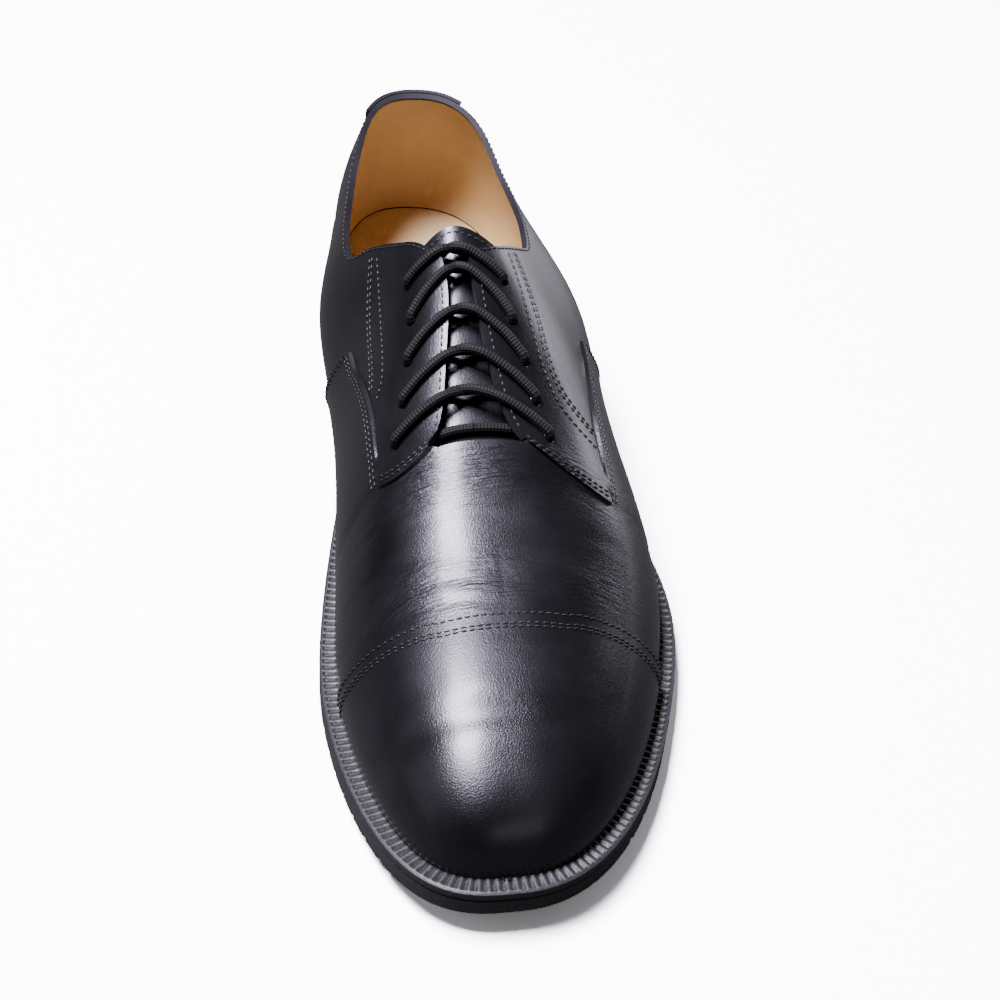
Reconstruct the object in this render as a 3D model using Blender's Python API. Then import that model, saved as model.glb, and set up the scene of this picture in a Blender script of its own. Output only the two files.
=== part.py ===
"""Cap-toe derby shoe for the left foot: hollow upper on a ribbed welt, outsole and heel.

Metres, toe toward -Y, big-toe side -X, floor at z = 0.  Every curved piece comes from one
function of the last: a station along the foot, an angle from the foot line up to the ridge,
and a distance out from the leather's face.
"""
import math

import bmesh
import bpy
import numpy as np

# Main sizes
FOOT_LENGTH = 0.303       # heel to toe along the line where the upper meets the sole
BALL_WIDTH = 0.100        # across that line at the ball
HEEL_HEIGHT = 0.030       # seat above the floor
INSTEP = 0.082            # ridge above the foot line at the instep
GAP = 0.0003              # between pieces that meet
WALL = 0.0020             # leather and lining of the upper
LIP = 0.0011              # one layer of leather lying over another
OVERLAY = 0.0012          # toe cap and back strip
WELT_OUT = 0.0070         # welt beyond the foot line at the toe
WELT_THICK = 0.0030
RIB_PITCH = 0.0029
RIB_DEPTH = 0.0007
RIB_BAND = 0.0044
RIM = 0.0013
INSOLE_RISE = 0.0006      # insole top above the foot line
INSOLE_PLAY = 0.0012      # insole inside the upper's wall
TOP_PIECE = 0.0066
LACE_R = 0.0015
TONGUE_THICK = 0.0022
TONGUE_DROP = 0.0038      # tongue below the lining, with room for the lace ends
EYELET_R = 0.0020
EYELET_SIDES = 8
LACE_SIDES = 6
STEP_WIDTH = 0.0004       # of a step in the upper's wall
MEAN_RADIUS = 0.45        # of the upper's sections, in ball widths

# Where the rear round and the toe round begin, and how square they are
HEEL_END = 0.15
TOE_START = 0.80
HEEL_ROUND = 2.3
TOE_ROUND = 2.8
TOE_DROP = 2.3
SWELL = 9.5               # brings the bulge's widest place to its value in the table

# share of length; ridge, medial, lateral and bulge in ball widths; seat in heel heights;
# height in insteps; squareness of the section
LAST_COLUMNS = ("share", "ridge", "medial", "lateral", "seat", "height", "square", "bulge")
LAST = (
    (0.00, -0.061, 0.270, 0.322, 1.000, 1.045, 1.50, 0.035),
    (0.15, -0.066, 0.270, 0.332, 0.967, 1.045, 1.70, 0.045),
    (0.28, -0.150, 0.175, 0.484, 0.833, 1.110, 1.35, 0.130),
    (0.40, -0.060, 0.300, 0.457, 0.650, 1.000, 1.76, 0.087),
    (0.50, -0.050, 0.362, 0.512, 0.500, 0.878, 2.05, 0.038),
    (0.60, -0.048, 0.410, 0.565, 0.393, 0.732, 2.10, 0.020),
    (0.66, -0.045, 0.435, 0.570, 0.360, 0.646, 2.20, 0.015),
    (0.72, -0.043, 0.450, 0.543, 0.353, 0.567, 2.20, 0.015),
    (0.80, -0.048, 0.430, 0.475, 0.387, 0.482, 2.30, 0.015),
    (0.88, -0.063, 0.380, 0.402, 0.453, 0.415, 2.40, 0.015),
    (1.00, -0.105, 0.300, 0.315, 0.600, 0.341, 2.60, 0.015),
)
# welt beyond the foot line, in WELT_OUT
WELT = (
    (0.00, 0.36, 0.36), (0.15, 0.36, 0.36), (0.30, 0.29, 0.29), (0.42, 0.29, 0.29),
    (0.52, 0.50, 0.57), (0.62, 0.71, 0.86), (0.72, 0.83, 0.93), (0.85, 0.93, 1.00),
    (1.00, 1.00, 1.00),
)
# underside of the outsole, in heel heights
UNDERSIDE = (
    (0.00, 0.690), (0.15, 0.667), (0.28, 0.540), (0.40, 0.327), (0.50, 0.153), (0.57, 0.047),
    (0.62, 0.000), (0.74, 0.000), (0.80, 0.030), (0.88, 0.110), (1.00, 0.297),
)

# Ribs of the upper behind the throat.  Stations at the foot, at the wing seam (lateral, medial)
# and at the top edge; forward bow of the upper half; angles of the wing seam and of the top edge
# (lateral, medial)
COLLAR_RIBS = (
    (0.000, 0.000, 0.000, 0.000, 0.0, 26.0, 43.0, 43.0),
    (0.014, 0.014, 0.014, 0.030, 0.0, 26.0, 43.0, 43.0),
    (0.028, 0.028, 0.028, 0.060, 0.0, 26.0, 42.5, 42.5),
    (0.060, 0.060, 0.060, 0.088, 0.0, 26.0, 41.5, 41.0),
    (0.092, 0.092, 0.092, 0.115, 0.0, 24.0, 39.5, 38.0),
    (0.122, 0.122, 0.122, 0.141, 0.0, 23.0, 37.5, 34.5),
    (0.153, 0.153, 0.153, 0.168, 0.0, 22.0, 35.5, 32.0),
    (0.185, 0.185, 0.185, 0.196, 0.0, 22.0, 34.5, 30.5),
    (0.218, 0.218, 0.218, 0.226, 0.0, 22.0, 34.5, 29.8),
    (0.250, 0.250, 0.250, 0.258, 0.0, 22.0, 35.0, 29.8),
    (0.282, 0.284, 0.284, 0.290, 0.0, 22.0, 36.8, 31.0),
    (0.308, 0.315, 0.315, 0.328, 0.0, 23.0, 41.0, 43.0),
    (0.331, 0.344, 0.344, 0.362, 0.0, 24.0, 52.0, 55.5),
    (0.350, 0.368, 0.368, 0.388, 0.0, 25.5, 64.5, 68.5),
    (0.361, 0.384, 0.384, 0.402, 0.0, 26.2, 74.0, 74.5),
)
# As above, but the last column is half the gap between the facings, in ball widths
FACING_RIBS = (
    (0.3720, 0.3980, 0.3980, 0.412, 0.000, 26.5, 0.046),
    (0.3733, 0.3993, 0.3993, 0.432, 0.000, 27.5, 0.042),
    (0.405, 0.432, 0.430, 0.456, 0.000, 30.0, 0.042),
    (0.440, 0.465, 0.458, 0.480, 0.000, 34.0, 0.048),
    (0.475, 0.500, 0.488, 0.505, 0.000, 38.0, 0.058),
    (0.512, 0.535, 0.518, 0.530, 0.001, 41.5, 0.070),
    (0.550, 0.570, 0.548, 0.553, 0.003, 43.5, 0.082),
    (0.585, 0.600, 0.574, 0.573, 0.006, 45.0, 0.096),
    (0.605, 0.622, 0.592, 0.588, 0.008, 45.5, 0.115),
    (0.620, 0.638, 0.606, 0.600, 0.010, 46.0, 0.145),
)
# In front of the throat: foot, wing (lateral, medial) and top stations, bow, wing angle, top angle
VAMP_RIBS = (
    (0.6213, 0.6393, 0.6073, 0.6013, 0.010, 46.0, 73.0),
    (0.645, 0.660, 0.636, 0.630, 0.007, 46.0, 72.0),
    (0.672, 0.685, 0.668, 0.662, 0.004, 45.5, 71.0),
    (0.700, 0.710, 0.698, 0.695, 0.002, 45.0, 70.0),
    (0.728, 0.736, 0.730, 0.728, 0.001, 44.0, 69.0),
    (0.752, 0.758, 0.754, 0.756, 0.000, 43.0, 68.0),
    (0.769, 0.776, 0.774, 0.779, 0.000, 42.0, 68.0),
)
TOE_STATIONS = (0.800, 0.830, 0.860, 0.888, 0.914, 0.937, 0.957, 0.974, 0.987, 0.9955, 0.9988)
TOE_ANGLES = (40.0, 67.0)
FOOT_SHARES = (0.0, 0.16, 0.42, 0.70, 1.0)      # columns from the foot line to the wing seam
FACE_SHARES = (0.0, 0.28, 0.52, 0.76, 1.0)      # columns from the wing seam to the top edge
WING_REAR = len(COLLAR_RIBS) + 1                # first rib of the vamp wing
TAB_EDGE = len(COLLAR_RIBS) + len(FACING_RIBS) - 1
CAP_EDGE = TAB_EDGE + len(VAMP_RIBS)
STRIP_END = 0.04                                # station of the back strip's front edges
TAB_FADE = (1.0, 0.8, 0.45, 0.15)               # quarter over vamp, ribs behind the tab edge
WING_FADE = (0.0, 0.25, 0.5, 0.8, 1.0)          # wing over quarter, foot line to seam
REAR_FADE = (1.0, 0.6, 0.3, 0.1)                # wing over quarter, ribs ahead of its rear edge
CORNER_FADE = (0.0, 0.6, 0.8)                   # wing under the tab's corner

# Eyelets and lace rows: station, half spread (medial, lateral) in ball widths
EYELETS = (
    (0.427, 0.148, 0.143), (0.470, 0.156, 0.154), (0.511, 0.176, 0.183), (0.550, 0.200, 0.202),
    (0.586, 0.232, 0.227),
)
EYELET_SKEW = 0.008       # lateral eyelets ahead of, medial ones behind, the station of the pair

TOP_CROSSING = 0.407      # station at which the top crossing lies
UNDER_RUN = 0.07          # lace beyond the facing's edge, in ball widths
BAR_STATION = 0.587
BAR_SPREAD = 0.20
TAB_RISE = (0.52, 0.585)  # stations over which the tab rises on to the vamp

TONGUE_STATIONS = (0.372, 0.390, 0.41, 0.44, 0.47, 0.50, 0.53, 0.56, 0.588, 0.612, 0.640)
TONGUE_HALF = (0.235, 0.185)    # half width at the top and in front, in ball widths
TONGUE_COLUMNS = 7
TONGUE_CORNER = 0.014     # how far the top edge falls away at its corners
TONGUE_STRAIGHT = 0.44    # behind this station the tongue runs straight on, up and back
TONGUE_FRONT = 0.60       # ahead of this station it rises to the vamp's lining

# Sole layers
SOLE_STATIONS = (
    0.0, 0.025, 0.05, 0.075, 0.10, 0.125, 0.15, 0.19, 0.22, 0.25, 0.29, 0.33, 0.37, 0.41, 0.45, 0.49,
    0.53, 0.57, 0.60, 0.62, 0.66, 0.70, 0.74, 0.77, 0.80, 0.83, 0.86, 0.888, 0.914, 0.937, 0.957,
    0.974, 0.987, 0.9955, 1.0,
)
HEEL_STATIONS = SOLE_STATIONS[:10]
EDGE_ROUND = 0.0010       # eased edges of the outsole
HEEL_IN = 0.0004          # heel block inside the outsole's edge
HEEL_TAPER = 0.0012
HEEL_BREAST = 0.0035      # hollow of the heel's front face
RIBS_FROM = 0.46
TREAD_FROM = 0.585
TREAD_PITCH = 0.030
TREAD_COUNT = 13
TREAD_WIDTH = 0.0024
TREAD_DEPTH = 0.0012

MEDIAL, LATERAL = -1, 1


def spline(points, column=1):
    """Natural cubic through the first column and the chosen one."""
    xs = np.array([p[0] for p in points])
    ys = np.array([p[column] for p in points])
    step = np.diff(xs)
    size = len(xs)
    rows = np.eye(size)
    right = np.zeros(size)
    for i in range(1, size - 1):
        rows[i, i - 1:i + 2] = step[i - 1], 2 * (step[i - 1] + step[i]), step[i]
        right[i] = 6 * ((ys[i + 1] - ys[i]) / step[i] - (ys[i] - ys[i - 1]) / step[i - 1])
    bend = np.linalg.solve(rows, right)

    def value(x):
        x = np.asarray(x, float)
        k = np.clip(np.searchsorted(xs, x) - 1, 0, size - 2)
        d = step[k]
        a = (xs[k + 1] - x) / d
        b = 1 - a
        return a * ys[k] + b * ys[k + 1] + ((a**3 - a) * bend[k] + (b**3 - b) * bend[k + 1]) * d**2 / 6
    return value


SECTION = {name: spline(LAST, k) for k, name in enumerate(LAST_COLUMNS) if k}
THROAT_GAP = spline([(rib[3], rib[6]) for rib in FACING_RIBS])
WELT_EDGE = {MEDIAL: spline(WELT, 1), LATERAL: spline(WELT, 2)}
SOLE_BOTTOM = spline(UNDERSIDE)


def from_back(u):
    """Share of the length, measured from the back, at station u; differs inside the heel's round."""
    turn = np.pi / 2 * np.minimum(u / HEEL_END, 1)
    return np.where(u < HEEL_END, HEEL_END * (1 - np.cos(turn)), u)


def closing(u, power):
    """1 behind the toe's round, falling to 0 at its tip."""
    t = np.clip((u - TOE_START) / (1 - TOE_START), 0, 1)
    return (1 - t**power)**(1 / power)


def half_width(side, u):
    return SECTION["lateral" if side > 0 else "medial"](u) * BALL_WIDTH


def seat(u):
    """Height of the foot line."""
    return SECTION["seat"](from_back(u)) * HEEL_HEIGHT


def last_face(side, u, phi):
    """Point of the last; phi runs from 0 at the foot line to a quarter turn on the ridge."""
    u, phi = np.broadcast_arrays(np.asarray(u, float), np.asarray(phi, float))
    rear = u < HEEL_END
    turn = np.pi / 2 * np.minimum(u / HEEL_END, 1)
    back = from_back(u)
    depth = HEEL_END * FOOT_LENGTH
    side_r = half_width(side, HEEL_END)
    fan = ((np.cos(turn) / depth)**HEEL_ROUND + (np.sin(turn) / side_r)**HEEL_ROUND)**(-1 / HEEL_ROUND)
    reach = np.where(rear, fan, half_width(side, u) * closing(u, TOE_ROUND))
    drop = closing(back, TOE_DROP)
    height = SECTION["height"](back) * INSTEP * drop
    bulge = SECTION["bulge"](back) * BALL_WIDTH * drop
    rise = np.sin(phi)
    flat = np.abs(np.cos(phi))
    swell = SWELL * rise * (1 - rise)**3 * flat
    out = reach * flat**(2 / SECTION["square"](back)) + bulge * swell
    x = SECTION["ridge"](np.maximum(u, HEEL_END)) * BALL_WIDTH
    x = x + side * np.where(rear, out * np.sin(turn), out)
    y = FOOT_LENGTH * (0.5 - HEEL_END) + np.where(rear, out * np.cos(turn), (HEEL_END - u) * FOOT_LENGTH)
    return np.stack([x, y, seat(u) + GAP + height * rise], -1)


def last(side, u, phi, out):
    """Point at a distance out from the face of the last, along its normal."""
    u, phi, out = np.broadcast_arrays(*(np.asarray(a, float) for a in (u, phi, out)))
    tiny = 1e-4
    high = np.pi / 2 - tiny
    a = np.clip(u, tiny, 1 - 2 * tiny)
    b = np.clip(phi, tiny, high)
    along = last_face(side, a + tiny, b) - last_face(side, a - tiny, b)
    up = last_face(side, a, b + tiny) - last_face(side, a, b - tiny)
    normal = np.cross(up, along) * side
    level = np.clip(phi / 0.12, 0, 1)
    normal[..., 2] *= level
    centre = (u <= 0) | (phi >= high)
    normal[..., 0] = np.where(centre, 0, normal[..., 0])
    normal /= np.linalg.norm(normal, axis=-1, keepdims=True)
    return last_face(side, u, phi) + normal * out[..., None]


def angle_at(side, u, spread):
    """Angle at which the section's half width equals the spread."""
    share = np.asarray(spread, float) * BALL_WIDTH / (half_width(side, u) * closing(u, TOE_ROUND))
    return np.arccos(np.clip(share, 0, 1)**(SECTION["square"](from_back(u)) / 2))


def material(name, color, roughness):
    mat = bpy.data.materials.new(name)
    mat.use_nodes = True
    shader = mat.node_tree.nodes["Principled BSDF"]
    shader.inputs["Base Color"].default_value = (*color, 1.0)
    shader.inputs["Roughness"].default_value = roughness
    shader.inputs["Metallic"].default_value = 0.0
    return mat


def solid(name, points, faces, mat, group, smooth=True):
    """Mesh object from points and faces; equal points are joined."""
    mesh = bpy.data.meshes.new(name)
    bm = bmesh.new()
    used = sorted({k for face in faces for k in face})
    verts = {k: bm.verts.new(tuple(map(float, points[k]))) for k in used}
    for face in faces:
        bm.faces.new([verts[k] for k in face])
    bmesh.ops.remove_doubles(bm, verts=bm.verts, dist=1e-6)
    bmesh.ops.dissolve_degenerate(bm, edges=bm.edges, dist=1e-6)
    bmesh.ops.recalc_face_normals(bm, faces=bm.faces)
    bm.to_mesh(mesh)
    bm.free()
    mesh.polygons.foreach_set("use_smooth", [smooth] * len(mesh.polygons))
    if mat:
        mesh.materials.append(mat)
    obj = bpy.data.objects.new(name, mesh)
    group.objects.link(obj)
    return obj


def shell(name, outer, inner, cells, open_rows, mat, group):
    """Closed sheet between two grids of points over the cells that are present.

    Each cell is two triangles cut the same way, so sheets over the same cells stay parallel.
    The first row gets no edge when both halves meet there; the last row is closed by a
    face on either side when open_rows says so.
    """
    rows, cols = outer.shape[:2]
    points = np.concatenate([outer.reshape(-1, 3), inner.reshape(-1, 3)])
    under = rows * cols
    faces = []
    edges = {}
    for i, j in zip(*np.nonzero(cells)):
        ring = [i * cols + j, i * cols + j + 1, (i + 1) * cols + j + 1, (i + 1) * cols + j]
        for half in (ring[:3], ring[2:] + ring[:1]):
            faces.append(half)
            faces.append([k + under for k in reversed(half)])
        for a, b in zip(ring, ring[1:] + ring[:1]):
            key = (min(a, b), max(a, b))
            edges[key] = None if key in edges else (a, b)
    last_row = range((rows - 1) * cols, rows * cols)
    for pair in edges.values():
        if pair is None:
            continue
        first = pair[0] < cols and pair[1] < cols
        tip = pair[0] in last_row and pair[1] in last_row
        if (first and not open_rows[0]) or (tip and not open_rows[1]):
            continue
        a, b = pair
        faces.append([b, a, a + under, b + under])
    if not open_rows[1]:
        faces.append(list(last_row))
        faces.append([k + under for k in reversed(last_row)])
        ends = (last_row[0], last_row[-1])
        faces.append([ends[0], ends[1], ends[1] + under, ends[0] + under])
    return solid(name, points, faces, mat, group)


def rib_rows(side):
    """Stations, angles and raised lips of every lattice point on one side, foot to ridge."""
    stations, angles, lips = [], [], []
    toe_ribs = [(u, u, u, u, 0.0, *TOE_ANGLES) for u in TOE_STATIONS]
    ribs = COLLAR_RIBS + FACING_RIBS + VAMP_RIBS + tuple(toe_ribs)
    for row, (foot, wing_lateral, wing_medial, top, bow, wing_deg, *ends) in enumerate(ribs):
        end = ends[0] if side > 0 else ends[-1]
        wing = wing_lateral if side > 0 else wing_medial
        facing = len(COLLAR_RIBS) <= row <= TAB_EDGE
        wing_angle = math.radians(wing_deg)
        top_angle = float(angle_at(side, top, end)) if facing else math.radians(end)
        low = [(foot + (wing - foot) * s, wing_angle * s) for s in FOOT_SHARES]
        high = []
        for s in FACE_SHARES:
            start = wing_angle + STEP_WIDTH / (MEAN_RADIUS * BALL_WIDTH)
            high.append((wing + (top - wing) * s + bow * 4 * s * (1 - s), start + (top_angle - start) * s))
        middle = [(top + 0.002, (top_angle + math.pi / 2) / 2), (top + 0.002, math.pi / 2)]
        if row > CAP_EDGE or row < TAB_EDGE:
            middle = [(top, angle) for _, angle in middle]
        pairs = low + high + middle
        stations.append([p[0] for p in pairs])
        angles.append([p[1] for p in pairs])
        lips.append(lip_row(row))
    return np.array(stations), np.array(angles), np.array(lips)


def lip_row(row):
    """Raised share of each column: wings below the seam, quarter tabs above it."""
    behind = TAB_EDGE - row
    tab = TAB_FADE[behind] if 0 <= behind < len(TAB_FADE) else 0.0
    ahead = row - WING_REAR
    rear = REAR_FADE[ahead] if 0 <= ahead < len(REAR_FADE) else 0.0
    corner = CORNER_FADE[behind] if 0 <= behind < len(CORNER_FADE) else 1.0
    wing = []
    for column, fade in enumerate(WING_FADE):
        on = ahead >= 0 and behind >= 0
        wing.append(max(fade * corner, rear if column else 0.0) if on else 0.0)
    return wing + [tab] * len(FACE_SHARES) + [0.0, 0.0]


def both_sides(out):
    """Lattice over the whole foot at a distance out, medial foot to lateral foot."""
    halves = []
    for side in (MEDIAL, LATERAL):
        stations, angles, lips = rib_rows(side)
        amount = out(lips) + np.zeros_like(stations)
        points = last(side, stations, angles, amount)
        halves.append(points if side < 0 else points[:, -2::-1])
    return np.concatenate(halves, axis=1)


def make_upper(mat, group, cutters):
    """Vamp, wings, quarters and lining: one wall with stepped seams and ten punched eyelets."""
    outer = both_sides(lambda lips: lips * LIP)
    inner = both_sides(lambda lips: -WALL)
    rows, cols = outer.shape[:2]
    cells = np.ones((rows - 1, cols - 1), bool)
    edge = len(FOOT_SHARES) + len(FACE_SHARES) - 1
    cells[:TAB_EDGE + 1, edge:cols - 1 - edge] = False
    obj = shell("upper", outer, inner, cells, (False, False), mat, group)
    boolean(obj, make_punches(cutters), "DIFFERENCE")
    return obj


def eyelet_place(side, row):
    """Station and angle of one eyelet."""
    share, medial, lateral = EYELETS[row]
    u = share + side * EYELET_SKEW
    return u, float(angle_at(side, u, lateral if side > 0 else medial))


def make_punches(group):
    """Ten round punches through the facings, one cutter."""
    points, faces = [], []
    for row in range(len(EYELETS)):
        for side in (MEDIAL, LATERAL):
            u, phi = eyelet_place(side, row)
            ends = [last(side, u, phi, out) for out in (-2 * WALL, 2 * WALL)]
            add_tube(points, faces, ends, EYELET_R, EYELET_SIDES)
    return cutter("eyelet_punches", points, faces, group)


def make_overlay(name, rows, thick, mat, group, open_rows):
    """Leather piece lying over the upper between two of its ribs."""
    start, stop = rows
    outer = both_sides(lambda lips: GAP + thick)[start:stop]
    inner = both_sides(lambda lips: GAP)[start:stop]
    cells = np.ones((outer.shape[0] - 1, outer.shape[1] - 1), bool)
    if start == 0:
        edge = len(FOOT_SHARES) + len(FACE_SHARES) - 1
        cells[:, edge:outer.shape[1] - 1 - edge] = False
    return shell(name, outer, inner, cells, open_rows, mat, group)


def tongue_point(u, spread, depth):
    """Point below the leather's face at a spread from the ridge."""
    side = LATERAL if spread > 0 else MEDIAL
    ahead = 0.01
    base = max(u, TONGUE_STRAIGHT)
    here, front = (last(side, v, angle_at(side, v, abs(spread)), -depth) for v in (base, base + ahead))
    return here + (here - front) * (base - u) / ahead


def make_tongue(mat, group):
    """Curved tongue under the facings, rising to the vamp's lining in front."""
    first, end = TONGUE_STATIONS[0], TONGUE_STATIONS[-1]
    grids = []
    for extra in (0.0, TONGUE_THICK):
        rows = []
        for u in TONGUE_STATIONS:
            depth = WALL + extra + (TONGUE_DROP if u < TONGUE_FRONT else 2 * GAP)
            half = np.interp(u, (first, end), TONGUE_HALF)
            row = []
            for share in np.linspace(-1, 1, TONGUE_COLUMNS):
                fall = TONGUE_CORNER * share**4 if u == first else 0.0
                row.append(tongue_point(u + fall, share * half, depth))
            rows.append(row)
        grids.append(np.array(rows))
    cells = np.ones((len(TONGUE_STATIONS) - 1, TONGUE_COLUMNS - 1), bool)
    return shell("tongue", grids[0], grids[1], cells, (True, True), mat, group)


def foot_plan(side, u, out):
    """Plan point at a distance out from the foot line."""
    tiny = 1e-4
    u = np.asarray(u, float)
    here = last_face(side, u, 0.0)
    mid = np.clip(u, tiny, 1 - tiny)
    step = last_face(side, mid + tiny, 0.0) - last_face(side, mid - tiny, 0.0)
    normal = np.stack([-step[..., 1], step[..., 0]], -1) * side
    normal[..., 0] = np.where((u <= 0) | (u >= 1), 0.0, normal[..., 0])
    normal /= np.linalg.norm(normal, axis=-1, keepdims=True)
    return here[..., :2] + normal * np.asarray(out, float)[..., None]


def welt_out(side, u):
    return WELT_EDGE[side](from_back(u)) * WELT_OUT


def slab(name, stations, levels, mat, group, breast=0.0):
    """Sole layer: levels are pairs of edge offset and height functions, top face first."""
    stations = np.array(stations)
    across = np.linspace(0, 1, 3)
    grids = []
    for offset, height in levels:
        low = foot_plan(MEDIAL, stations, offset(MEDIAL, stations))
        high = foot_plan(LATERAL, stations, offset(LATERAL, stations))
        xy = low[:, None] + (high - low)[:, None] * across[None, :, None]
        xy[-1, :, 1] += breast * 4 * across * (1 - across)
        z = np.repeat(height(stations)[:, None], len(across), axis=1)
        grids.append(np.dstack([xy, z]))
    points = np.concatenate([g.reshape(-1, 3) for g in grids])
    faces = slab_faces(grids[0].shape[0], len(across), len(grids), stations[-1] < 1)
    return solid(name, points, faces, mat, group, smooth=False)


def slab_faces(rows, cols, count, front):
    """Top and bottom faces, side walls, and a front wall where the slab stops short of the toe."""
    size = rows * cols
    bottom = size * (count - 1)
    faces = []
    for i in range(rows - 1):
        for j in range(cols - 1):
            ring = [i * cols + j, i * cols + j + 1, (i + 1) * cols + j + 1, (i + 1) * cols + j]
            faces.append(ring)
            faces.append([k + bottom for k in reversed(ring)])
    for level in range(count - 1):
        top, low = level * size, (level + 1) * size
        walls = [(i * cols + j, (i + 1) * cols + j) for i in range(rows - 1) for j in (0, cols - 1)]
        if front:
            walls += [((rows - 1) * cols + j, (rows - 1) * cols + j + 1) for j in range(cols - 1)]
        for a, b in walls:
            faces.append([top + a, top + b, low + b, low + a])
    return faces


def sole_underside(u):
    return np.maximum(SOLE_BOTTOM(from_back(u)), 0) * HEEL_HEIGHT


def make_outsole(mat, group, cutters):
    """Unit sole under the welt, with bars of tread cut across the forefoot."""
    def top(u):
        return seat(u) - WELT_THICK - GAP

    levels = (
        (lambda side, u: welt_out(side, u) - EDGE_ROUND / 2, top),
        (welt_out, lambda u: top(u) - EDGE_ROUND),
        (welt_out, lambda u: sole_underside(u) + EDGE_ROUND),
        (lambda side, u: welt_out(side, u) - EDGE_ROUND, sole_underside),
    )
    obj = slab("outsole", SOLE_STATIONS, levels, mat, group)
    boolean(obj, make_tread_bars(cutters), "DIFFERENCE")
    return obj


def make_tread_bars(group):
    """Row of straight bars lying in the underside of the forefoot, one cutter."""
    points, faces = [], []
    for k in range(TREAD_COUNT):
        u = TREAD_FROM + k * TREAD_PITCH
        place = np.array([0.0, FOOT_LENGTH * (0.5 - u), float(sole_underside(u))])
        ahead = FOOT_LENGTH * TREAD_PITCH
        rise = float(sole_underside(u + TREAD_PITCH)) - place[2]
        along = np.array([0.0, -ahead, rise]) / math.hypot(ahead, rise) * TREAD_WIDTH / 2
        up = np.array([0.0, rise, ahead]) / math.hypot(ahead, rise) * TREAD_DEPTH
        wide = np.array([BALL_WIDTH, 0.0, 0.0])
        start = len(points)
        for x in (-1, 1):
            for y in (-1, 1):
                for z in (-1, 1):
                    points.append(place + x * wide + y * along + z * up)
        for ring in ((0, 1, 3, 2), (4, 6, 7, 5), (0, 4, 5, 1), (2, 3, 7, 6), (0, 2, 6, 4), (1, 5, 7, 3)):
            faces.append([start + n for n in ring])
    return cutter("tread_bars", points, faces, group)


def make_heel(mat, group):
    levels = (
        (lambda side, u: welt_out(side, u) - HEEL_IN, lambda u: sole_underside(u) - GAP),
        (lambda side, u: welt_out(side, u) - HEEL_TAPER, lambda u: TOP_PIECE + GAP + 0 * u),
    )
    return slab("heel", HEEL_STATIONS, levels, mat, group, HEEL_BREAST)


def make_top_piece(mat, group):
    levels = (
        (lambda side, u: welt_out(side, u) - HEEL_TAPER, lambda u: TOP_PIECE + 0 * u),
        (lambda side, u: welt_out(side, u) - HEEL_TAPER - GAP, lambda u: 0 * u),
    )
    return slab("top_piece", HEEL_STATIONS, levels, mat, group, HEEL_BREAST)


def make_insole(mat, group):
    def inside(side, u):
        return 0 * u - WALL - INSOLE_PLAY

    levels = ((inside, lambda u: seat(u) + INSOLE_RISE), (inside, lambda u: seat(u) - WELT_THICK))
    return slab("insole", SOLE_STATIONS, levels, mat, group)


def rib_stations(side):
    """Stations half a rib apart along the outer edge, from the waist to the toe."""
    toe = 1 - (1 - TOE_START) * np.linspace(1, 0, 400)[1:]**3
    fine = np.concatenate([np.linspace(RIBS_FROM, TOE_START, 60), toe])
    edge = foot_plan(side, fine, welt_out(side, fine) / 2)
    length = np.concatenate([[0], np.cumsum(np.linalg.norm(np.diff(edge, axis=0), axis=1))])
    halves = 2 * round(length[-1] / RIB_PITCH)
    return np.interp(np.linspace(0, length[-1], halves + 1), length, fine)


def welt_section(side, u, valley):
    """Points round the welt's section at one station, inner bottom corner first."""
    out = float(welt_out(side, u))
    band = out - RIM - RIB_BAND * out / WELT_OUT
    sunk = RIB_DEPTH if valley else 0.0
    inner = ((-WALL, WELT_THICK), (-WALL, 0.0))
    ribs = ((band, sunk), (out - RIM, sunk))
    edge = ((out, RIM / 3), (out, WELT_THICK))
    top = float(seat(u))
    return [(*foot_plan(side, u, reach), top - down) for reach, down in inner + ribs + edge]


def make_welt(mat, group):
    """Closed strip round the foot; its upper face is ribbed from the waist to the toe."""
    ribbed = {side: rib_stations(side) for side in (MEDIAL, LATERAL)}
    path = []
    for side in (LATERAL, MEDIAL):
        run = [(side, float(u), bool(k % 2)) for k, u in enumerate(ribbed[side])]
        plain = [(side, u, False) for u in SOLE_STATIONS if u < RIBS_FROM - 0.01]
        run = plain + run
        path += run[:-1] if side > 0 else run[:0:-1]
    rings = [welt_section(*stop) for stop in path]
    count = len(rings[0])
    points = [p for ring in rings for p in ring]
    faces = []
    for i in range(len(rings)):
        for j in range(count):
            a, b = i * count + j, i * count + (j + 1) % count
            ahead = count if i < len(rings) - 1 else -i * count
            faces.append([a, b, b + ahead, a + ahead])
    return solid("welt", points, faces, mat, group, smooth=False)


def add_tube(points, faces, path, radius, sides):
    """Adds a closed round bar along a path to lists of points and faces."""
    path = np.array(path)
    tangents = np.gradient(path, axis=0)
    tangents /= np.linalg.norm(tangents, axis=1)[:, None]
    across = np.cross(tangents, (0.0, 0.6, 0.8))
    across /= np.linalg.norm(across, axis=1)[:, None]
    upward = np.cross(across, tangents)
    start = len(points)
    for centre, a, b in zip(path, across, upward):
        for k in range(sides):
            turn = 2 * math.pi * k / sides
            points.append(centre + radius * (a * math.cos(turn) + b * math.sin(turn)))
    for i in range(len(path) - 1):
        for k in range(sides):
            low = start + i * sides
            a, b = low + k, low + (k + 1) % sides
            faces.append([a, b, b + sides, a + sides])
    faces.append([start + k for k in reversed(range(sides))])
    faces.append([start + (len(path) - 1) * sides + k for k in range(sides)])


def cutter(name, points, faces, group):
    obj = solid(name, points, faces, None, group)
    obj.hide_render = True
    obj.display_type = "WIRE"
    return obj


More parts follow.
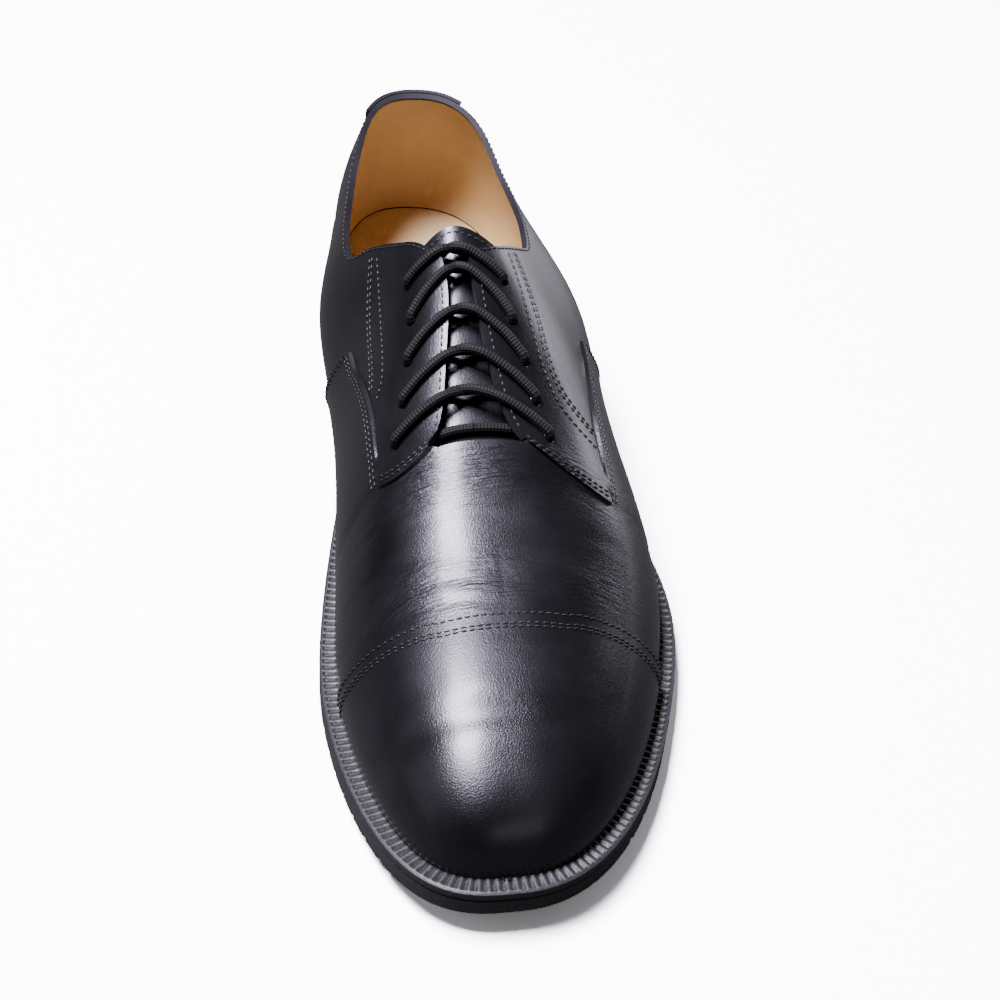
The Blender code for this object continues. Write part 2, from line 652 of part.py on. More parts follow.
def boolean(obj, other, operation):
    mod = obj.modifiers.new(other.name, "BOOLEAN")
    mod.object = other
    mod.operation = operation
    mod.solver = "EXACT"


def facing_lip(u):
    """How far the tab stands up near its front edge."""
    return LIP * float(np.clip((u - TAB_RISE[0]) / (TAB_RISE[1] - TAB_RISE[0]), 0, 1))


def lace_point(side, u, spread, out):
    """Point over the throat; a negative spread lies on the far side of the ridge."""
    face = side if spread >= 0 else -side
    return last(face, u, angle_at(face, u, abs(spread)), out)


def lace_path(side, row):
    """Centre line from above an eyelet, over the throat and under the facing across from it."""
    u, phi = eyelet_place(side, row)
    start = EYELETS[row][1 if side < 0 else 2]
    goal = EYELETS[row - 1][0] if row else TOP_CROSSING
    gap = float(THROAT_GAP(goal + (u - goal) / 4))
    over = LACE_R + 2 * GAP
    under = -(WALL + LACE_R + GAP)
    lift = (LACE_R if side > 0 else -LACE_R) / 4
    stops = (
        (start, over), ((start + gap) / 2, over), (gap, over), (gap / 2, over / 3 + lift),
        (0.0, under / 3 + lift), (-gap / 2, under * 0.86), (-gap * 0.9, under), (-gap - UNDER_RUN, under),
    )
    path = []
    for spread, out in stops:
        done = (start - spread) / (start + gap)
        station = goal + (u - goal) * max(1 - done, 0)**2
        lip = facing_lip(station) if spread >= gap else 0.0
        path.append(lace_point(side, station, spread, out + lip))
    return path


def make_lace_row(row, mat, group, cutters):
    """Two laces crossing over the throat, joined where they touch."""
    name = f"lace_row_{row + 1}"
    points, faces = [], []
    add_tube(points, faces, lace_path(MEDIAL, row), LACE_R, LACE_SIDES)
    obj = solid(name, points, faces, mat, group)
    points, faces = [], []
    add_tube(points, faces, lace_path(LATERAL, row), LACE_R, LACE_SIDES)
    boolean(obj, cutter(name + "_over", points, faces, cutters), "UNION")
    return obj


def make_lace_bar(mat, group):
    """Straight lace between the lowest eyelets, under both facings."""
    points, faces = [], []
    path = []
    for spread in np.linspace(-BAR_SPREAD, BAR_SPREAD, 9):
        side = LATERAL if spread >= 0 else MEDIAL
        path.append(lace_point(side, BAR_STATION, abs(spread), -(WALL + LACE_R + GAP)))
    add_tube(points, faces, path, LACE_R, LACE_SIDES)
    return solid("lace_bar", points, faces, mat, group)


def centre_plan(parts):
    """Moves every part so that the middle of the plan lies over the origin."""
    corners = np.array([tuple(v.co) for obj in parts for v in obj.data.vertices])
    middle = (corners.min(axis=0) + corners.max(axis=0)) / 2
    shift = np.array([middle[0], middle[1], 0.0])
    for obj in list(bpy.data.objects):
        for v in obj.data.vertices:
            v.co = tuple(np.array(v.co) - shift)


def main():
    """Builds the shoe."""
    for obj in list(bpy.data.objects):
        bpy.data.objects.remove(obj, do_unlink=True)
    parts = bpy.data.collections.new("derby_shoe")
    cutters = bpy.data.collections.new("cutters")
    for group in (parts, cutters):
        bpy.context.scene.collection.children.link(group)
    upper_leather = material("upper_leather", (0.012, 0.012, 0.015), 0.32)
    tongue_leather = material("tongue_leather", (0.014, 0.014, 0.016), 0.45)
    insole_leather = material("insole_leather", (0.50, 0.36, 0.20), 0.6)
    sole_rubber = material("sole_rubber", (0.015, 0.015, 0.017), 0.6)
    lace_cord = material("lace_cord", (0.01, 0.01, 0.012), 0.8)
    strip_ribs = sum(rib[0] < STRIP_END for rib in COLLAR_RIBS)
    made = [
        make_outsole(sole_rubber, parts, cutters),
        make_heel(sole_rubber, parts),
        make_top_piece(sole_rubber, parts),
        make_welt(sole_rubber, parts),
        make_insole(insole_leather, parts),
        make_upper(upper_leather, parts, cutters),
        make_overlay("toe_cap", (CAP_EDGE, None), OVERLAY, upper_leather, parts, (True, False)),
        make_overlay("back_strip", (0, strip_ribs), OVERLAY, upper_leather, parts, (False, True)),
        make_tongue(tongue_leather, parts),
        make_lace_bar(lace_cord, parts),
    ]
    made += [make_lace_row(row, lace_cord, parts, cutters) for row in range(len(EYELETS))]
    centre_plan(made)


main()
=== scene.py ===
"""Black cap-toe derby shoe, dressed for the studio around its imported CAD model."""

import math

import bmesh
import bpy
import numpy as np
from mathutils import Matrix, Vector
from mathutils.bvhtree import BVHTree


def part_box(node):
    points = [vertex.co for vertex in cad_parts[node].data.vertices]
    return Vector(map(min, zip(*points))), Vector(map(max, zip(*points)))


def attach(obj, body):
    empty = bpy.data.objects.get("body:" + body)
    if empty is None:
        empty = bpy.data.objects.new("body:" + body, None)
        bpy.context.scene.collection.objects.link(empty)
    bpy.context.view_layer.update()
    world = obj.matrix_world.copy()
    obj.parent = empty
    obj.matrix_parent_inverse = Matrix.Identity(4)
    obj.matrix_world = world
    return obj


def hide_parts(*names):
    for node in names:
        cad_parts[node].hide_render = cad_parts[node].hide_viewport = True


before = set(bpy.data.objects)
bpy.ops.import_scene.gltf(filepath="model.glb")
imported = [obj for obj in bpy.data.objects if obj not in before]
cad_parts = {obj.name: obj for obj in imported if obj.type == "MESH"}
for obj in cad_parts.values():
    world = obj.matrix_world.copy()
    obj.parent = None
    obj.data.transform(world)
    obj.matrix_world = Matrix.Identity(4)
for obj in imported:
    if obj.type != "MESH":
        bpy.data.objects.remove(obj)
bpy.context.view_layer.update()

# Upper: vamp, wings and quarters of smooth black calf over a tan lining, lasted as one shell.
# The wings lie over the quarters along a seam, the tabs of the quarters over the vamp, and ten
# holes are punched through the facings. Soft creases cross it where the ball bends.

# Places on the last: a station from heel (0) to toe (1), an angle from the foot line (0) to the
# ridge (a quarter turn), and a distance out from the leather's face
MEDIAL, LATERAL = -1, 1
FOOT_LENGTH = 0.303
BALL_WIDTH = 0.100
HEEL_HEIGHT = 0.030
INSTEP = 0.082
GAP = 0.0003
HEEL_END = 0.15
TOE_START = 0.80
HEEL_ROUND = 2.3
TOE_ROUND = 2.8
TOE_DROP = 2.3
SWELL = 9.5
LAST_COLUMNS = ("share", "ridge", "medial", "lateral", "seat", "height", "square", "bulge")
LAST = (
    (0.00, -0.061, 0.270, 0.322, 1.000, 1.045, 1.50, 0.035),
    (0.15, -0.066, 0.270, 0.332, 0.967, 1.045, 1.70, 0.045),
    (0.28, -0.150, 0.175, 0.484, 0.833, 1.110, 1.35, 0.130),
    (0.40, -0.060, 0.300, 0.457, 0.650, 1.000, 1.76, 0.087),
    (0.50, -0.050, 0.362, 0.512, 0.500, 0.878, 2.05, 0.038),
    (0.60, -0.048, 0.410, 0.565, 0.393, 0.732, 2.10, 0.020),
    (0.66, -0.045, 0.435, 0.570, 0.360, 0.646, 2.20, 0.015),
    (0.72, -0.043, 0.450, 0.543, 0.353, 0.567, 2.20, 0.015),
    (0.80, -0.048, 0.430, 0.475, 0.387, 0.482, 2.30, 0.015),
    (0.88, -0.063, 0.380, 0.402, 0.453, 0.415, 2.40, 0.015),
    (1.00, -0.105, 0.300, 0.315, 0.600, 0.341, 2.60, 0.015),
)


def natural(points, column=1):
    """Natural cubic through the first column and the chosen one."""
    xs = np.array([p[0] for p in points])
    ys = np.array([p[column] for p in points])
    step = np.diff(xs)
    rows = np.eye(len(xs))
    right = np.zeros(len(xs))
    for i in range(1, len(xs) - 1):
        rows[i, i - 1:i + 2] = step[i - 1], 2 * (step[i - 1] + step[i]), step[i]
        right[i] = 6 * ((ys[i + 1] - ys[i]) / step[i] - (ys[i] - ys[i - 1]) / step[i - 1])
    bend = np.linalg.solve(rows, right)

    def value(x):
        x = np.asarray(x, float)
        k = np.clip(np.searchsorted(xs, x) - 1, 0, len(xs) - 2)
        d = step[k]
        a = (xs[k + 1] - x) / d
        b = 1 - a
        return a * ys[k] + b * ys[k + 1] + ((a**3 - a) * bend[k] + (b**3 - b) * bend[k + 1]) * d**2 / 6
    return value


SECTION = {name: natural(LAST, k) for k, name in enumerate(LAST_COLUMNS) if k}


def from_back(u):
    """Share of the length from the back at station u; the two differ inside the heel's round."""
    turn = np.pi / 2 * np.minimum(u / HEEL_END, 1)
    return np.where(u < HEEL_END, HEEL_END * (1 - np.cos(turn)), u)


def closing(u, power):
    """1 behind the toe's round, falling to 0 at its tip."""
    t = np.clip((u - TOE_START) / (1 - TOE_START), 0, 1)
    return (1 - t**power)**(1 / power)


def half_width(side, u):
    return SECTION["lateral" if side > 0 else "medial"](u) * BALL_WIDTH


def seat(u):
    """Height of the foot line."""
    return SECTION["seat"](from_back(u)) * HEEL_HEIGHT


def last_face(side, u, phi):
    """Point of the last's own face."""
    u, phi = np.broadcast_arrays(np.asarray(u, float), np.asarray(phi, float))
    rear = u < HEEL_END
    turn = np.pi / 2 * np.minimum(u / HEEL_END, 1)
    back = from_back(u)
    depth = HEEL_END * FOOT_LENGTH
    side_r = half_width(side, HEEL_END)
    fan = ((np.cos(turn) / depth)**HEEL_ROUND + (np.sin(turn) / side_r)**HEEL_ROUND)**(-1 / HEEL_ROUND)
    reach = np.where(rear, fan, half_width(side, u) * closing(u, TOE_ROUND))
    drop = closing(back, TOE_DROP)
    rise = np.sin(phi)
    flat = np.abs(np.cos(phi))
    bulge = SECTION["bulge"](back) * BALL_WIDTH * drop * SWELL * rise * (1 - rise)**3 * flat
    out = reach * flat**(2 / SECTION["square"](back)) + bulge
    x = SECTION["ridge"](np.maximum(u, HEEL_END)) * BALL_WIDTH
    x = x + side * np.where(rear, out * np.sin(turn), out)
    y = FOOT_LENGTH * (0.5 - HEEL_END) + np.where(rear, out * np.cos(turn), (HEEL_END - u) * FOOT_LENGTH)
    return np.stack([x, y, seat(u) + GAP + SECTION["height"](back) * INSTEP * drop * rise], -1)


def last_normal(side, u, phi):
    """Direction out from the last's face, level along the foot line."""
    tiny = 1e-4
    high = np.pi / 2 - tiny
    a = np.clip(u, tiny, 1 - 2 * tiny)
    b = np.clip(phi, tiny, high)
    along = last_face(side, a + tiny, b) - last_face(side, a - tiny, b)
    up = last_face(side, a, b + tiny) - last_face(side, a, b - tiny)
    normal = np.cross(up, along) * np.sign(side)
    normal[..., 2] *= np.clip(phi / 0.12, 0, 1)
    centre = (u <= 0) | (phi >= high)
    normal[..., 0] = np.where(centre, 0, normal[..., 0])
    return normal / np.linalg.norm(normal, axis=-1, keepdims=True)


def foot_plan(side, u, out):
    """Plan point at a distance out from the foot line."""
    u = np.asarray(u, float)
    tiny = 1e-4
    mid = np.clip(u, tiny, 1 - tiny)
    step = last_face(side, mid + tiny, 0.0) - last_face(side, mid - tiny, 0.0)
    normal = np.stack([-step[..., 1], step[..., 0]], -1) * side
    normal[..., 0] = np.where((u <= 0) | (u >= 1), 0.0, normal[..., 0])
    normal /= np.linalg.norm(normal, axis=-1, keepdims=True)
    return last_face(side, u, 0.0)[..., :2] + normal * np.asarray(out, float)[..., None] - HOME[:2]


WELT_OUT = 0.0070
WELT = (
    (0.00, 0.36, 0.36), (0.15, 0.36, 0.36), (0.30, 0.29, 0.29), (0.42, 0.29, 0.29),
    (0.52, 0.50, 0.57), (0.62, 0.71, 0.86), (0.72, 0.83, 0.93), (0.85, 0.93, 1.00),
    (1.00, 1.00, 1.00),
)
WELT_EDGE = {MEDIAL: natural(WELT, 1), LATERAL: natural(WELT, 2)}


def welt_out(side, u):
    return WELT_EDGE[side](from_back(u)) * WELT_OUT


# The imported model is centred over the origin: the outsole's box gives how far it was shifted
HOME = np.zeros(3)
OUTLINE_STATIONS = np.linspace(0, 1, 1001)
outline = np.concatenate([
    foot_plan(side, OUTLINE_STATIONS, welt_out(side, OUTLINE_STATIONS)) for side in (MEDIAL, LATERAL)
])
sole_low, sole_high = (np.array(corner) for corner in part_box("outsole"))
HOME[:2] = (outline.min(axis=0) + outline.max(axis=0) - sole_low[:2] - sole_high[:2]) / 2


def last(side, u, phi, out):
    """Point at a distance out from the face of the last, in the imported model's frame."""
    u, phi, out = np.broadcast_arrays(*(np.asarray(a, float) for a in (u, phi, out)))
    return last_face(side, u, phi) + last_normal(side, u, phi) * out[..., None] - HOME


def angle_at(side, u, spread):
    """Angle at which the section's half width equals the spread, given in ball widths."""
    share = np.asarray(spread, float) * BALL_WIDTH / (half_width(side, u) * closing(u, TOE_ROUND))
    return np.arccos(np.clip(share, 0, 1)**(SECTION["square"](from_back(u)) / 2))


WALL = 0.0020
LIP = 0.0011
STEP_ANGLE = 0.0089
PITCH = 0.0014
COLUMNS = (26, 34, 14)            # foot line to wing seam, on to the top edge, on to the ridge
COLLAR_RIBS = (
    (0.000, 0.000, 0.000, 0.000, 0.0, 26.0, 43.0, 43.0),
    (0.014, 0.014, 0.014, 0.030, 0.0, 26.0, 43.0, 43.0),
    (0.028, 0.028, 0.028, 0.060, 0.0, 26.0, 42.5, 42.5),
    (0.060, 0.060, 0.060, 0.088, 0.0, 26.0, 41.5, 41.0),
    (0.092, 0.092, 0.092, 0.115, 0.0, 24.0, 39.5, 38.0),
    (0.122, 0.122, 0.122, 0.141, 0.0, 23.0, 37.5, 34.5),
    (0.153, 0.153, 0.153, 0.168, 0.0, 22.0, 35.5, 32.0),
    (0.185, 0.185, 0.185, 0.196, 0.0, 22.0, 34.5, 30.5),
    (0.218, 0.218, 0.218, 0.226, 0.0, 22.0, 34.5, 29.8),
    (0.250, 0.250, 0.250, 0.258, 0.0, 22.0, 35.0, 29.8),
    (0.282, 0.284, 0.284, 0.290, 0.0, 22.0, 36.8, 31.0),
    (0.308, 0.315, 0.315, 0.328, 0.0, 23.0, 41.0, 43.0),
    (0.331, 0.344, 0.344, 0.362, 0.0, 24.0, 52.0, 55.5),
    (0.350, 0.368, 0.368, 0.388, 0.0, 25.5, 64.5, 68.5),
    (0.361, 0.384, 0.384, 0.402, 0.0, 26.2, 74.0, 74.5),
)
FACING_RIBS = (
    (0.3720, 0.3980, 0.3980, 0.412, 0.000, 26.5, 0.046),
    (0.3733, 0.3993, 0.3993, 0.432, 0.000, 27.5, 0.042),
    (0.405, 0.432, 0.430, 0.456, 0.000, 30.0, 0.042),
    (0.440, 0.465, 0.458, 0.480, 0.000, 34.0, 0.048),
    (0.475, 0.500, 0.488, 0.505, 0.000, 38.0, 0.058),
    (0.512, 0.535, 0.518, 0.530, 0.001, 41.5, 0.070),
    (0.550, 0.570, 0.548, 0.553, 0.003, 43.5, 0.082),
    (0.585, 0.600, 0.574, 0.573, 0.006, 45.0, 0.096),
    (0.605, 0.622, 0.592, 0.588, 0.008, 45.5, 0.115),
    (0.620, 0.638, 0.606, 0.600, 0.010, 46.0, 0.145),
)
VAMP_RIBS = (
    (0.6213, 0.6393, 0.6073, 0.6013, 0.010, 46.0, 73.0),
    (0.645, 0.660, 0.636, 0.630, 0.007, 46.0, 72.0),
    (0.672, 0.685, 0.668, 0.662, 0.004, 45.5, 71.0),
    (0.700, 0.710, 0.698, 0.695, 0.002, 45.0, 70.0),
    (0.728, 0.736, 0.730, 0.728, 0.001, 44.0, 69.0),
    (0.752, 0.758, 0.754, 0.756, 0.000, 43.0, 68.0),
    (0.769, 0.776, 0.774, 0.779, 0.000, 42.0, 68.0),
)
TOE_ROWS = 84
TOE_CROWD = 2.6
TOE_ANGLES = (40.0, 67.0)
toe_stations = 1 - (1 - TOE_START) * (1 - np.linspace(0, 1, TOE_ROWS))**TOE_CROWD
RIBS = COLLAR_RIBS + FACING_RIBS + VAMP_RIBS + tuple((u, u, u, u, 0.0, *TOE_ANGLES) for u in toe_stations)
WING_REAR = len(COLLAR_RIBS) + 1
TAB_EDGE = len(COLLAR_RIBS) + len(FACING_RIBS) - 1
CAP_EDGE = TAB_EDGE + len(VAMP_RIBS)
TAB_FADE = (1.0, 0.8, 0.45, 0.15)
WING_SHARES = (0.0, 0.16, 0.42, 0.70, 1.0)
WING_FADE = (0.0, 0.25, 0.5, 0.8, 1.0)
REAR_FADE = (1.0, 0.6, 0.3, 0.1)
CORNER_FADE = (0.0, 0.6, 0.8)
RIDGE_AHEAD = 0.002


def run_length(points):
    """Distance along a line, at each of its points."""
    return np.concatenate([[0], np.cumsum(np.linalg.norm(np.diff(points, axis=0), axis=1))])


def between(xs, rows, at):
    """Rows of a table joined by smooth curves that don't overshoot."""
    rows = np.asarray(rows, float)
    step = np.diff(xs)[:, None]
    slope = np.diff(rows, axis=0) / step
    before, after = slope[:-1], slope[1:]
    heavy, light = 2 * step[1:] + step[:-1], step[1:] + 2 * step[:-1]
    same_way = before * after > 0
    safe_before = np.where(same_way, before, 1.0)
    safe_after = np.where(same_way, after, 1.0)
    mean = np.where(same_way, (heavy + light) / (heavy / safe_before + light / safe_after), 0.0)
    tangent = np.concatenate([slope[:1], mean, slope[-1:]])
    k = np.clip(np.searchsorted(xs, at, side="right") - 1, 0, len(xs) - 2)
    d = step[k]
    t = ((at - xs[k]) / d[:, 0])[:, None]
    rise = rows[k] * (1 + 2 * t) * (1 - t)**2 + rows[k + 1] * t**2 * (3 - 2 * t)
    return rise + d * (tangent[k] * t * (1 - t)**2 - tangent[k + 1] * t**2 * (1 - t))


def lip_row(row):
    """Raised share at the wing's columns, then of the tab."""
    behind = TAB_EDGE - row
    ahead = row - WING_REAR
    tab = TAB_FADE[behind] if 0 <= behind < len(TAB_FADE) else 0.0
    rear = REAR_FADE[ahead] if 0 <= ahead < len(REAR_FADE) else 0.0
    corner = CORNER_FADE[behind] if 0 <= behind < len(CORNER_FADE) else 1.0
    on = ahead >= 0 and behind >= 0
    wing = [max(fade * corner, rear if k else 0.0) if on else 0.0 for k, fade in enumerate(WING_FADE)]
    return wing + [tab]


def rib_table(side):
    """Ribs of one side: stations, bow, angles, step ahead of the middle, and raised shares."""
    table = []
    for row, (foot, wing_lateral, wing_medial, top, bow, wing_deg, *ends) in enumerate(RIBS):
        end = ends[0] if side > 0 else ends[-1]
        wing = wing_lateral if side > 0 else wing_medial
        facing = len(COLLAR_RIBS) <= row <= TAB_EDGE
        top_angle = float(angle_at(side, top, end)) if facing else math.radians(end)
        ahead = RIDGE_AHEAD if TAB_EDGE <= row <= CAP_EDGE else 0.0
        table.append((foot, wing, top, bow, math.radians(wing_deg), top_angle, ahead, *lip_row(row)))
    return np.array(table)


def rib_places():
    """Place of each rib along the shoe, and the finer rows between them."""
    stops = np.array([(rib[0], rib[3]) for rib in RIBS]) * FOOT_LENGTH
    gaps = np.maximum(np.abs(np.diff(stops, axis=0)).max(axis=1), 1e-7)
    places = np.concatenate([[0.0], np.cumsum(gaps)])
    rows = []
    for a, b in zip(places, places[1:]):
        rows.append(np.linspace(a, b, max(1, round((b - a) / PITCH)), endpoint=False))
    return places, np.concatenate(rows + [places[-1:]])


PLACES, ROWS = rib_places()


def first_row(rib):
    """Index of the fine row that lies on a rib."""
    return int(np.searchsorted(ROWS, PLACES[rib] - 1e-9))


def lattice(side):
    """Station, angle and raised share over one side, from the foot line to the ridge."""
    foot, wing, top, bow, wing_angle, top_angle, ahead, *lips = between(PLACES, rib_table(side), ROWS).T
    lips = np.array(lips)
    low, high, middle = (np.linspace(0, 1, n + 1) for n in COLUMNS)
    fade = np.array([np.interp(low, WING_SHARES, lips[:5, k]) for k in range(len(ROWS))])
    start = wing_angle + STEP_ANGLE
    col = np.newaxis
    stations = np.concatenate([
        foot[:, col] + (wing - foot)[:, col] * low,
        wing[:, col] + (top - wing)[:, col] * high + bow[:, col] * 4 * high * (1 - high),
        (top + ahead)[:, col] + 0 * middle[1:],
    ], axis=1)
    angles = np.concatenate([
        wing_angle[:, col] * low,
        start[:, col] + (top_angle - start)[:, col] * high,
        top_angle[:, col] + (np.pi / 2 - top_angle)[:, col] * middle[1:],
    ], axis=1)
    raised = np.concatenate([fade, lips[5][:, col] + 0 * high, 0 * middle[1:] + 0 * foot[:, col]], axis=1)
    return stations, angles, raised


LATTICE = {side: lattice(side) for side in (MEDIAL, LATERAL)}
TOP_COLUMN = COLUMNS[0] + COLUMNS[1] + 1


def both_sides(value):
    """Values of a function of side, station, angle and raised share over the whole foot."""
    halves = []
    for side in (MEDIAL, LATERAL):
        grid = value(side, *LATTICE[side])
        halves.append(grid if side < 0 else grid[:, -2::-1])
    return np.concatenate(halves, axis=1)


# Creases: side and middle of each trough, half length across, half width along, depth, slant
CREASES = (
    (MEDIAL, 0.617, 80.0, 0.014, 0.0013, 0.00018, 0.10),
    (LATERAL, 0.625, 76.0, 0.016, 0.0014, 0.00018, -0.16),
    (MEDIAL, 0.634, 70.0, 0.020, 0.0016, 0.00022, 0.12),
    (LATERAL, 0.644, 79.0, 0.014, 0.0016, 0.00018, -0.05),
    (MEDIAL, 0.655, 62.0, 0.022, 0.0022, 0.00018, 0.20),
    (MEDIAL, 0.672, 76.0, 0.026, 0.0026, 0.00014, 0.06),
    (LATERAL, 0.690, 66.0, 0.020, 0.0028, 0.00012, -0.14),
    (MEDIAL, 0.706, 60.0, 0.020, 0.0026, 0.00016, 0.22),
    (MEDIAL, 0.738, 72.0, 0.030, 0.0030, 0.00022, 0.04),
    (LATERAL, 0.748, 78.0, 0.018, 0.0026, 0.00012, -0.08),
    (MEDIAL, 0.760, 68.0, 0.022, 0.0022, 0.00016, 0.10),
    (MEDIAL, 0.886, 80.0, 0.022, 0.0062, 0.00060, 0.05),
)


def creases(side, u, phi):
    """Soft troughs with a low ridge on either side, as a distance out."""
    here = last_face(side, u, phi)
    total = np.zeros(u.shape)
    for crease_side, station, degrees, half_long, half_wide, depth, slant in CREASES:
        centre = last_face(crease_side, station, math.radians(degrees))
        aside = here[..., 0] - centre[0]
        across = aside / half_long
        along = (here[..., 1] - centre[1] + slant * aside + 0.10 * half_long * across**2) / half_wide
        total -= depth * (1 - 0.7 * along**2) * np.exp(-along**2 - across**2)
    return total


def face_out(side, u, phi, raised):
    return raised * LIP + creases(side, u, phi)


def link(obj):
    bpy.context.scene.collection.objects.link(obj)
    return obj


def new_material(name):
    """Material with its tree and its shader."""
    mat = bpy.data.materials.new(name)
    mat.use_nodes = True
    tree = mat.node_tree
    return mat, tree, tree.nodes["Principled BSDF"]


def set_inputs(shader, **values):
    for key, value in values.items():
        shader.inputs[key.replace("_", " ")].default_value = value


def shaped(name, bm):
    """Object with the form of a bmesh."""
    mesh = bpy.data.meshes.new(name)
    bm.to_mesh(mesh)
    bm.free()
    mesh.shade_smooth()
    return link(bpy.data.objects.new(name, mesh))


def laid_sheet(name, points, drop=None, marks=None):
    """Sheet of leather on a grid of points, without the dropped cells, with marked values."""
    rows, cols = points.shape[:2]
    bm = bmesh.new()
    bm.loops.layers.uv.new("weave")
    bmesh.ops.create_grid(bm, x_segments=cols - 1, y_segments=rows - 1, size=0.5, calc_uvs=True)
    layers = {key: bm.verts.layers.float.new(key) for key in (marks or {})}
    for face in bm.faces:
        middle = face.calc_center_median()
        face.index = int((middle.y + 0.5) * (rows - 1)) * (cols - 1) + int((middle.x + 0.5) * (cols - 1))
    for v in bm.verts:
        i, j = round((v.co.y + 0.5) * (rows - 1)), round((v.co.x + 0.5) * (cols - 1))
        v.co = points[i, j]
        for key, layer in layers.items():
            v[layer] = marks[key][i, j]
    if drop is not None:
        gone = [face for face in bm.faces if drop[face.index // (cols - 1), face.index % (cols - 1)]]
        bmesh.ops.delete(bm, geom=gone, context="FACES")
    bmesh.ops.reverse_faces(bm, faces=bm.faces)
    bmesh.ops.remove_doubles(bm, verts=bm.verts, dist=2e-6)
    bmesh.ops.dissolve_degenerate(bm, edges=bm.edges, dist=1e-6)
    return shaped(name, bm)


def walled(obj, thickness, inner=0, rim=0):
    """Gives a sheet its thickness, inwards; inner and rim step to the next materials."""
    mod = obj.modifiers.new("wall", "SOLIDIFY")
    mod.thickness = thickness
    mod.offset = -1.0
    mod.use_even_offset = False
    mod.material_offset = inner
    mod.material_offset_rim = rim
    return mod


def settle(obj, sharp_deg=38.0):
    """Makes an object's modifiers part of its mesh and keeps its cut edges crisp."""
    bpy.context.view_layer.update()
    graph = bpy.context.evaluated_depsgraph_get()
    mesh = bpy.data.meshes.new_from_object(obj.evaluated_get(graph))
    obj.modifiers.clear()
    obj.data = mesh
    mesh.shade_smooth()
    mesh.set_sharp_from_angle(angle=math.radians(sharp_deg))


def carve(obj, bm, name, sharp_deg=38.0):
    """Cuts the forms of a bmesh out of an object."""
    cutter = shaped(name, bm)
    cut = obj.modifiers.new(name, "BOOLEAN")
    cut.object = cutter
    cut.operation = "DIFFERENCE"
    cut.solver = "EXACT"
    settle(obj, sharp_deg)
    bpy.data.objects.remove(cutter, do_unlink=True)


def value_node(tree, kind, **settings):
    node = tree.nodes.new(kind)
    for key, value in settings.items():
        setattr(node, key, value)
    return node


def grain_group():
    """Fine pebbled grain, pores and long wrinkles; out come a height and a cloudy shade."""
    tree = bpy.data.node_groups.new("leather_grain", "ShaderNodeTree")
    for key, default in (("Fineness", 1.0), ("Wrinkle", 0.0)):
        socket = tree.interface.new_socket(key, in_out="INPUT", socket_type="NodeSocketFloat")
        socket.default_value = default
    for key in ("Height", "Shade"):
        tree.interface.new_socket(key, in_out="OUTPUT", socket_type="NodeSocketFloat")
    into = tree.nodes.new("NodeGroupInput")
    out = tree.nodes.new("NodeGroupOutput")
    place = tree.nodes.new("ShaderNodeTexCoord")
    pebble = value_node(tree, "ShaderNodeTexVoronoi", feature="SMOOTH_F1")
    pores = tree.nodes.new("ShaderNodeTexNoise")
    cloud = tree.nodes.new("ShaderNodeTexNoise")
    lines = tree.nodes.new("ShaderNodeTexNoise")
    stretch = tree.nodes.new("ShaderNodeMapping")
    stretch.inputs["Scale"].default_value = (0.12, 1.0, 0.35)
    tree.links.new(place.outputs["Object"], stretch.inputs["Vector"])
    for node, size in ((pebble, 1900.0), (pores, 4200.0), (cloud, 38.0), (lines, 800.0)):
        scale = value_node(tree, "ShaderNodeMath", operation="MULTIPLY")
        scale.inputs[1].default_value = size
        tree.links.new(into.outputs["Fineness"], scale.inputs[0])
        tree.links.new(scale.outputs[0], node.inputs["Scale"])
        spot = stretch.outputs[0] if node is lines else place.outputs["Object"]
        tree.links.new(spot, node.inputs["Vector"])
    cloud.inputs["Detail"].default_value = 4.0
    lines.inputs["Detail"].default_value = 3.0
    fine = value_node(tree, "ShaderNodeMath", operation="MULTIPLY_ADD")
    tree.links.new(pores.outputs["Fac"], fine.inputs[0])
    fine.inputs[1].default_value = 0.35
    tree.links.new(pebble.outputs["Distance"], fine.inputs[2])
    long = value_node(tree, "ShaderNodeMath", operation="MULTIPLY_ADD")
    tree.links.new(lines.outputs["Fac"], long.inputs[0])
    tree.links.new(into.outputs["Wrinkle"], long.inputs[1])
    tree.links.new(fine.outputs[0], long.inputs[2])
    tree.links.new(long.outputs[0], out.inputs["Height"])
    tree.links.new(cloud.outputs["Fac"], out.inputs["Shade"])
    return tree


GRAIN = grain_group()
BINDING = (0.0012, 0.0015)        # where the black binding inside the top edge fades out
BINDING_BLACK = (0.008, 0.0075, 0.009, 1.0)
CLOUD = (0.3, 0.7)


def ramp(tree, source, low, high, at=(0.0, 1.0)):
    """Map of a value on to a stretch between two numbers or colours."""
    if isinstance(low, tuple):
        node = tree.nodes.new("ShaderNodeValToRGB")
        node.color_ramp.elements[0].color = (*low, 1.0)
        node.color_ramp.elements[1].color = (*high, 1.0)
        node.color_ramp.elements[0].position, node.color_ramp.elements[1].position = at
        tree.links.new(source, node.inputs["Fac"])
        return node.outputs["Color"]
    node = tree.nodes.new("ShaderNodeMapRange")
    for key, value in zip(("From Min", "From Max", "To Min", "To Max"), (*at, low, high)):
        node.inputs[key].default_value = value
    tree.links.new(source, node.inputs["Value"])
    return node.outputs["Result"]


def bumped(tree, shader, height, depth):
    """Links a height to the shader as a bump of a depth."""
    bump = tree.nodes.new("ShaderNodeBump")
    bump.inputs["Distance"].default_value = depth
    tree.links.new(height, bump.inputs["Height"])
    tree.links.new(bump.outputs["Normal"], shader.inputs["Normal"])


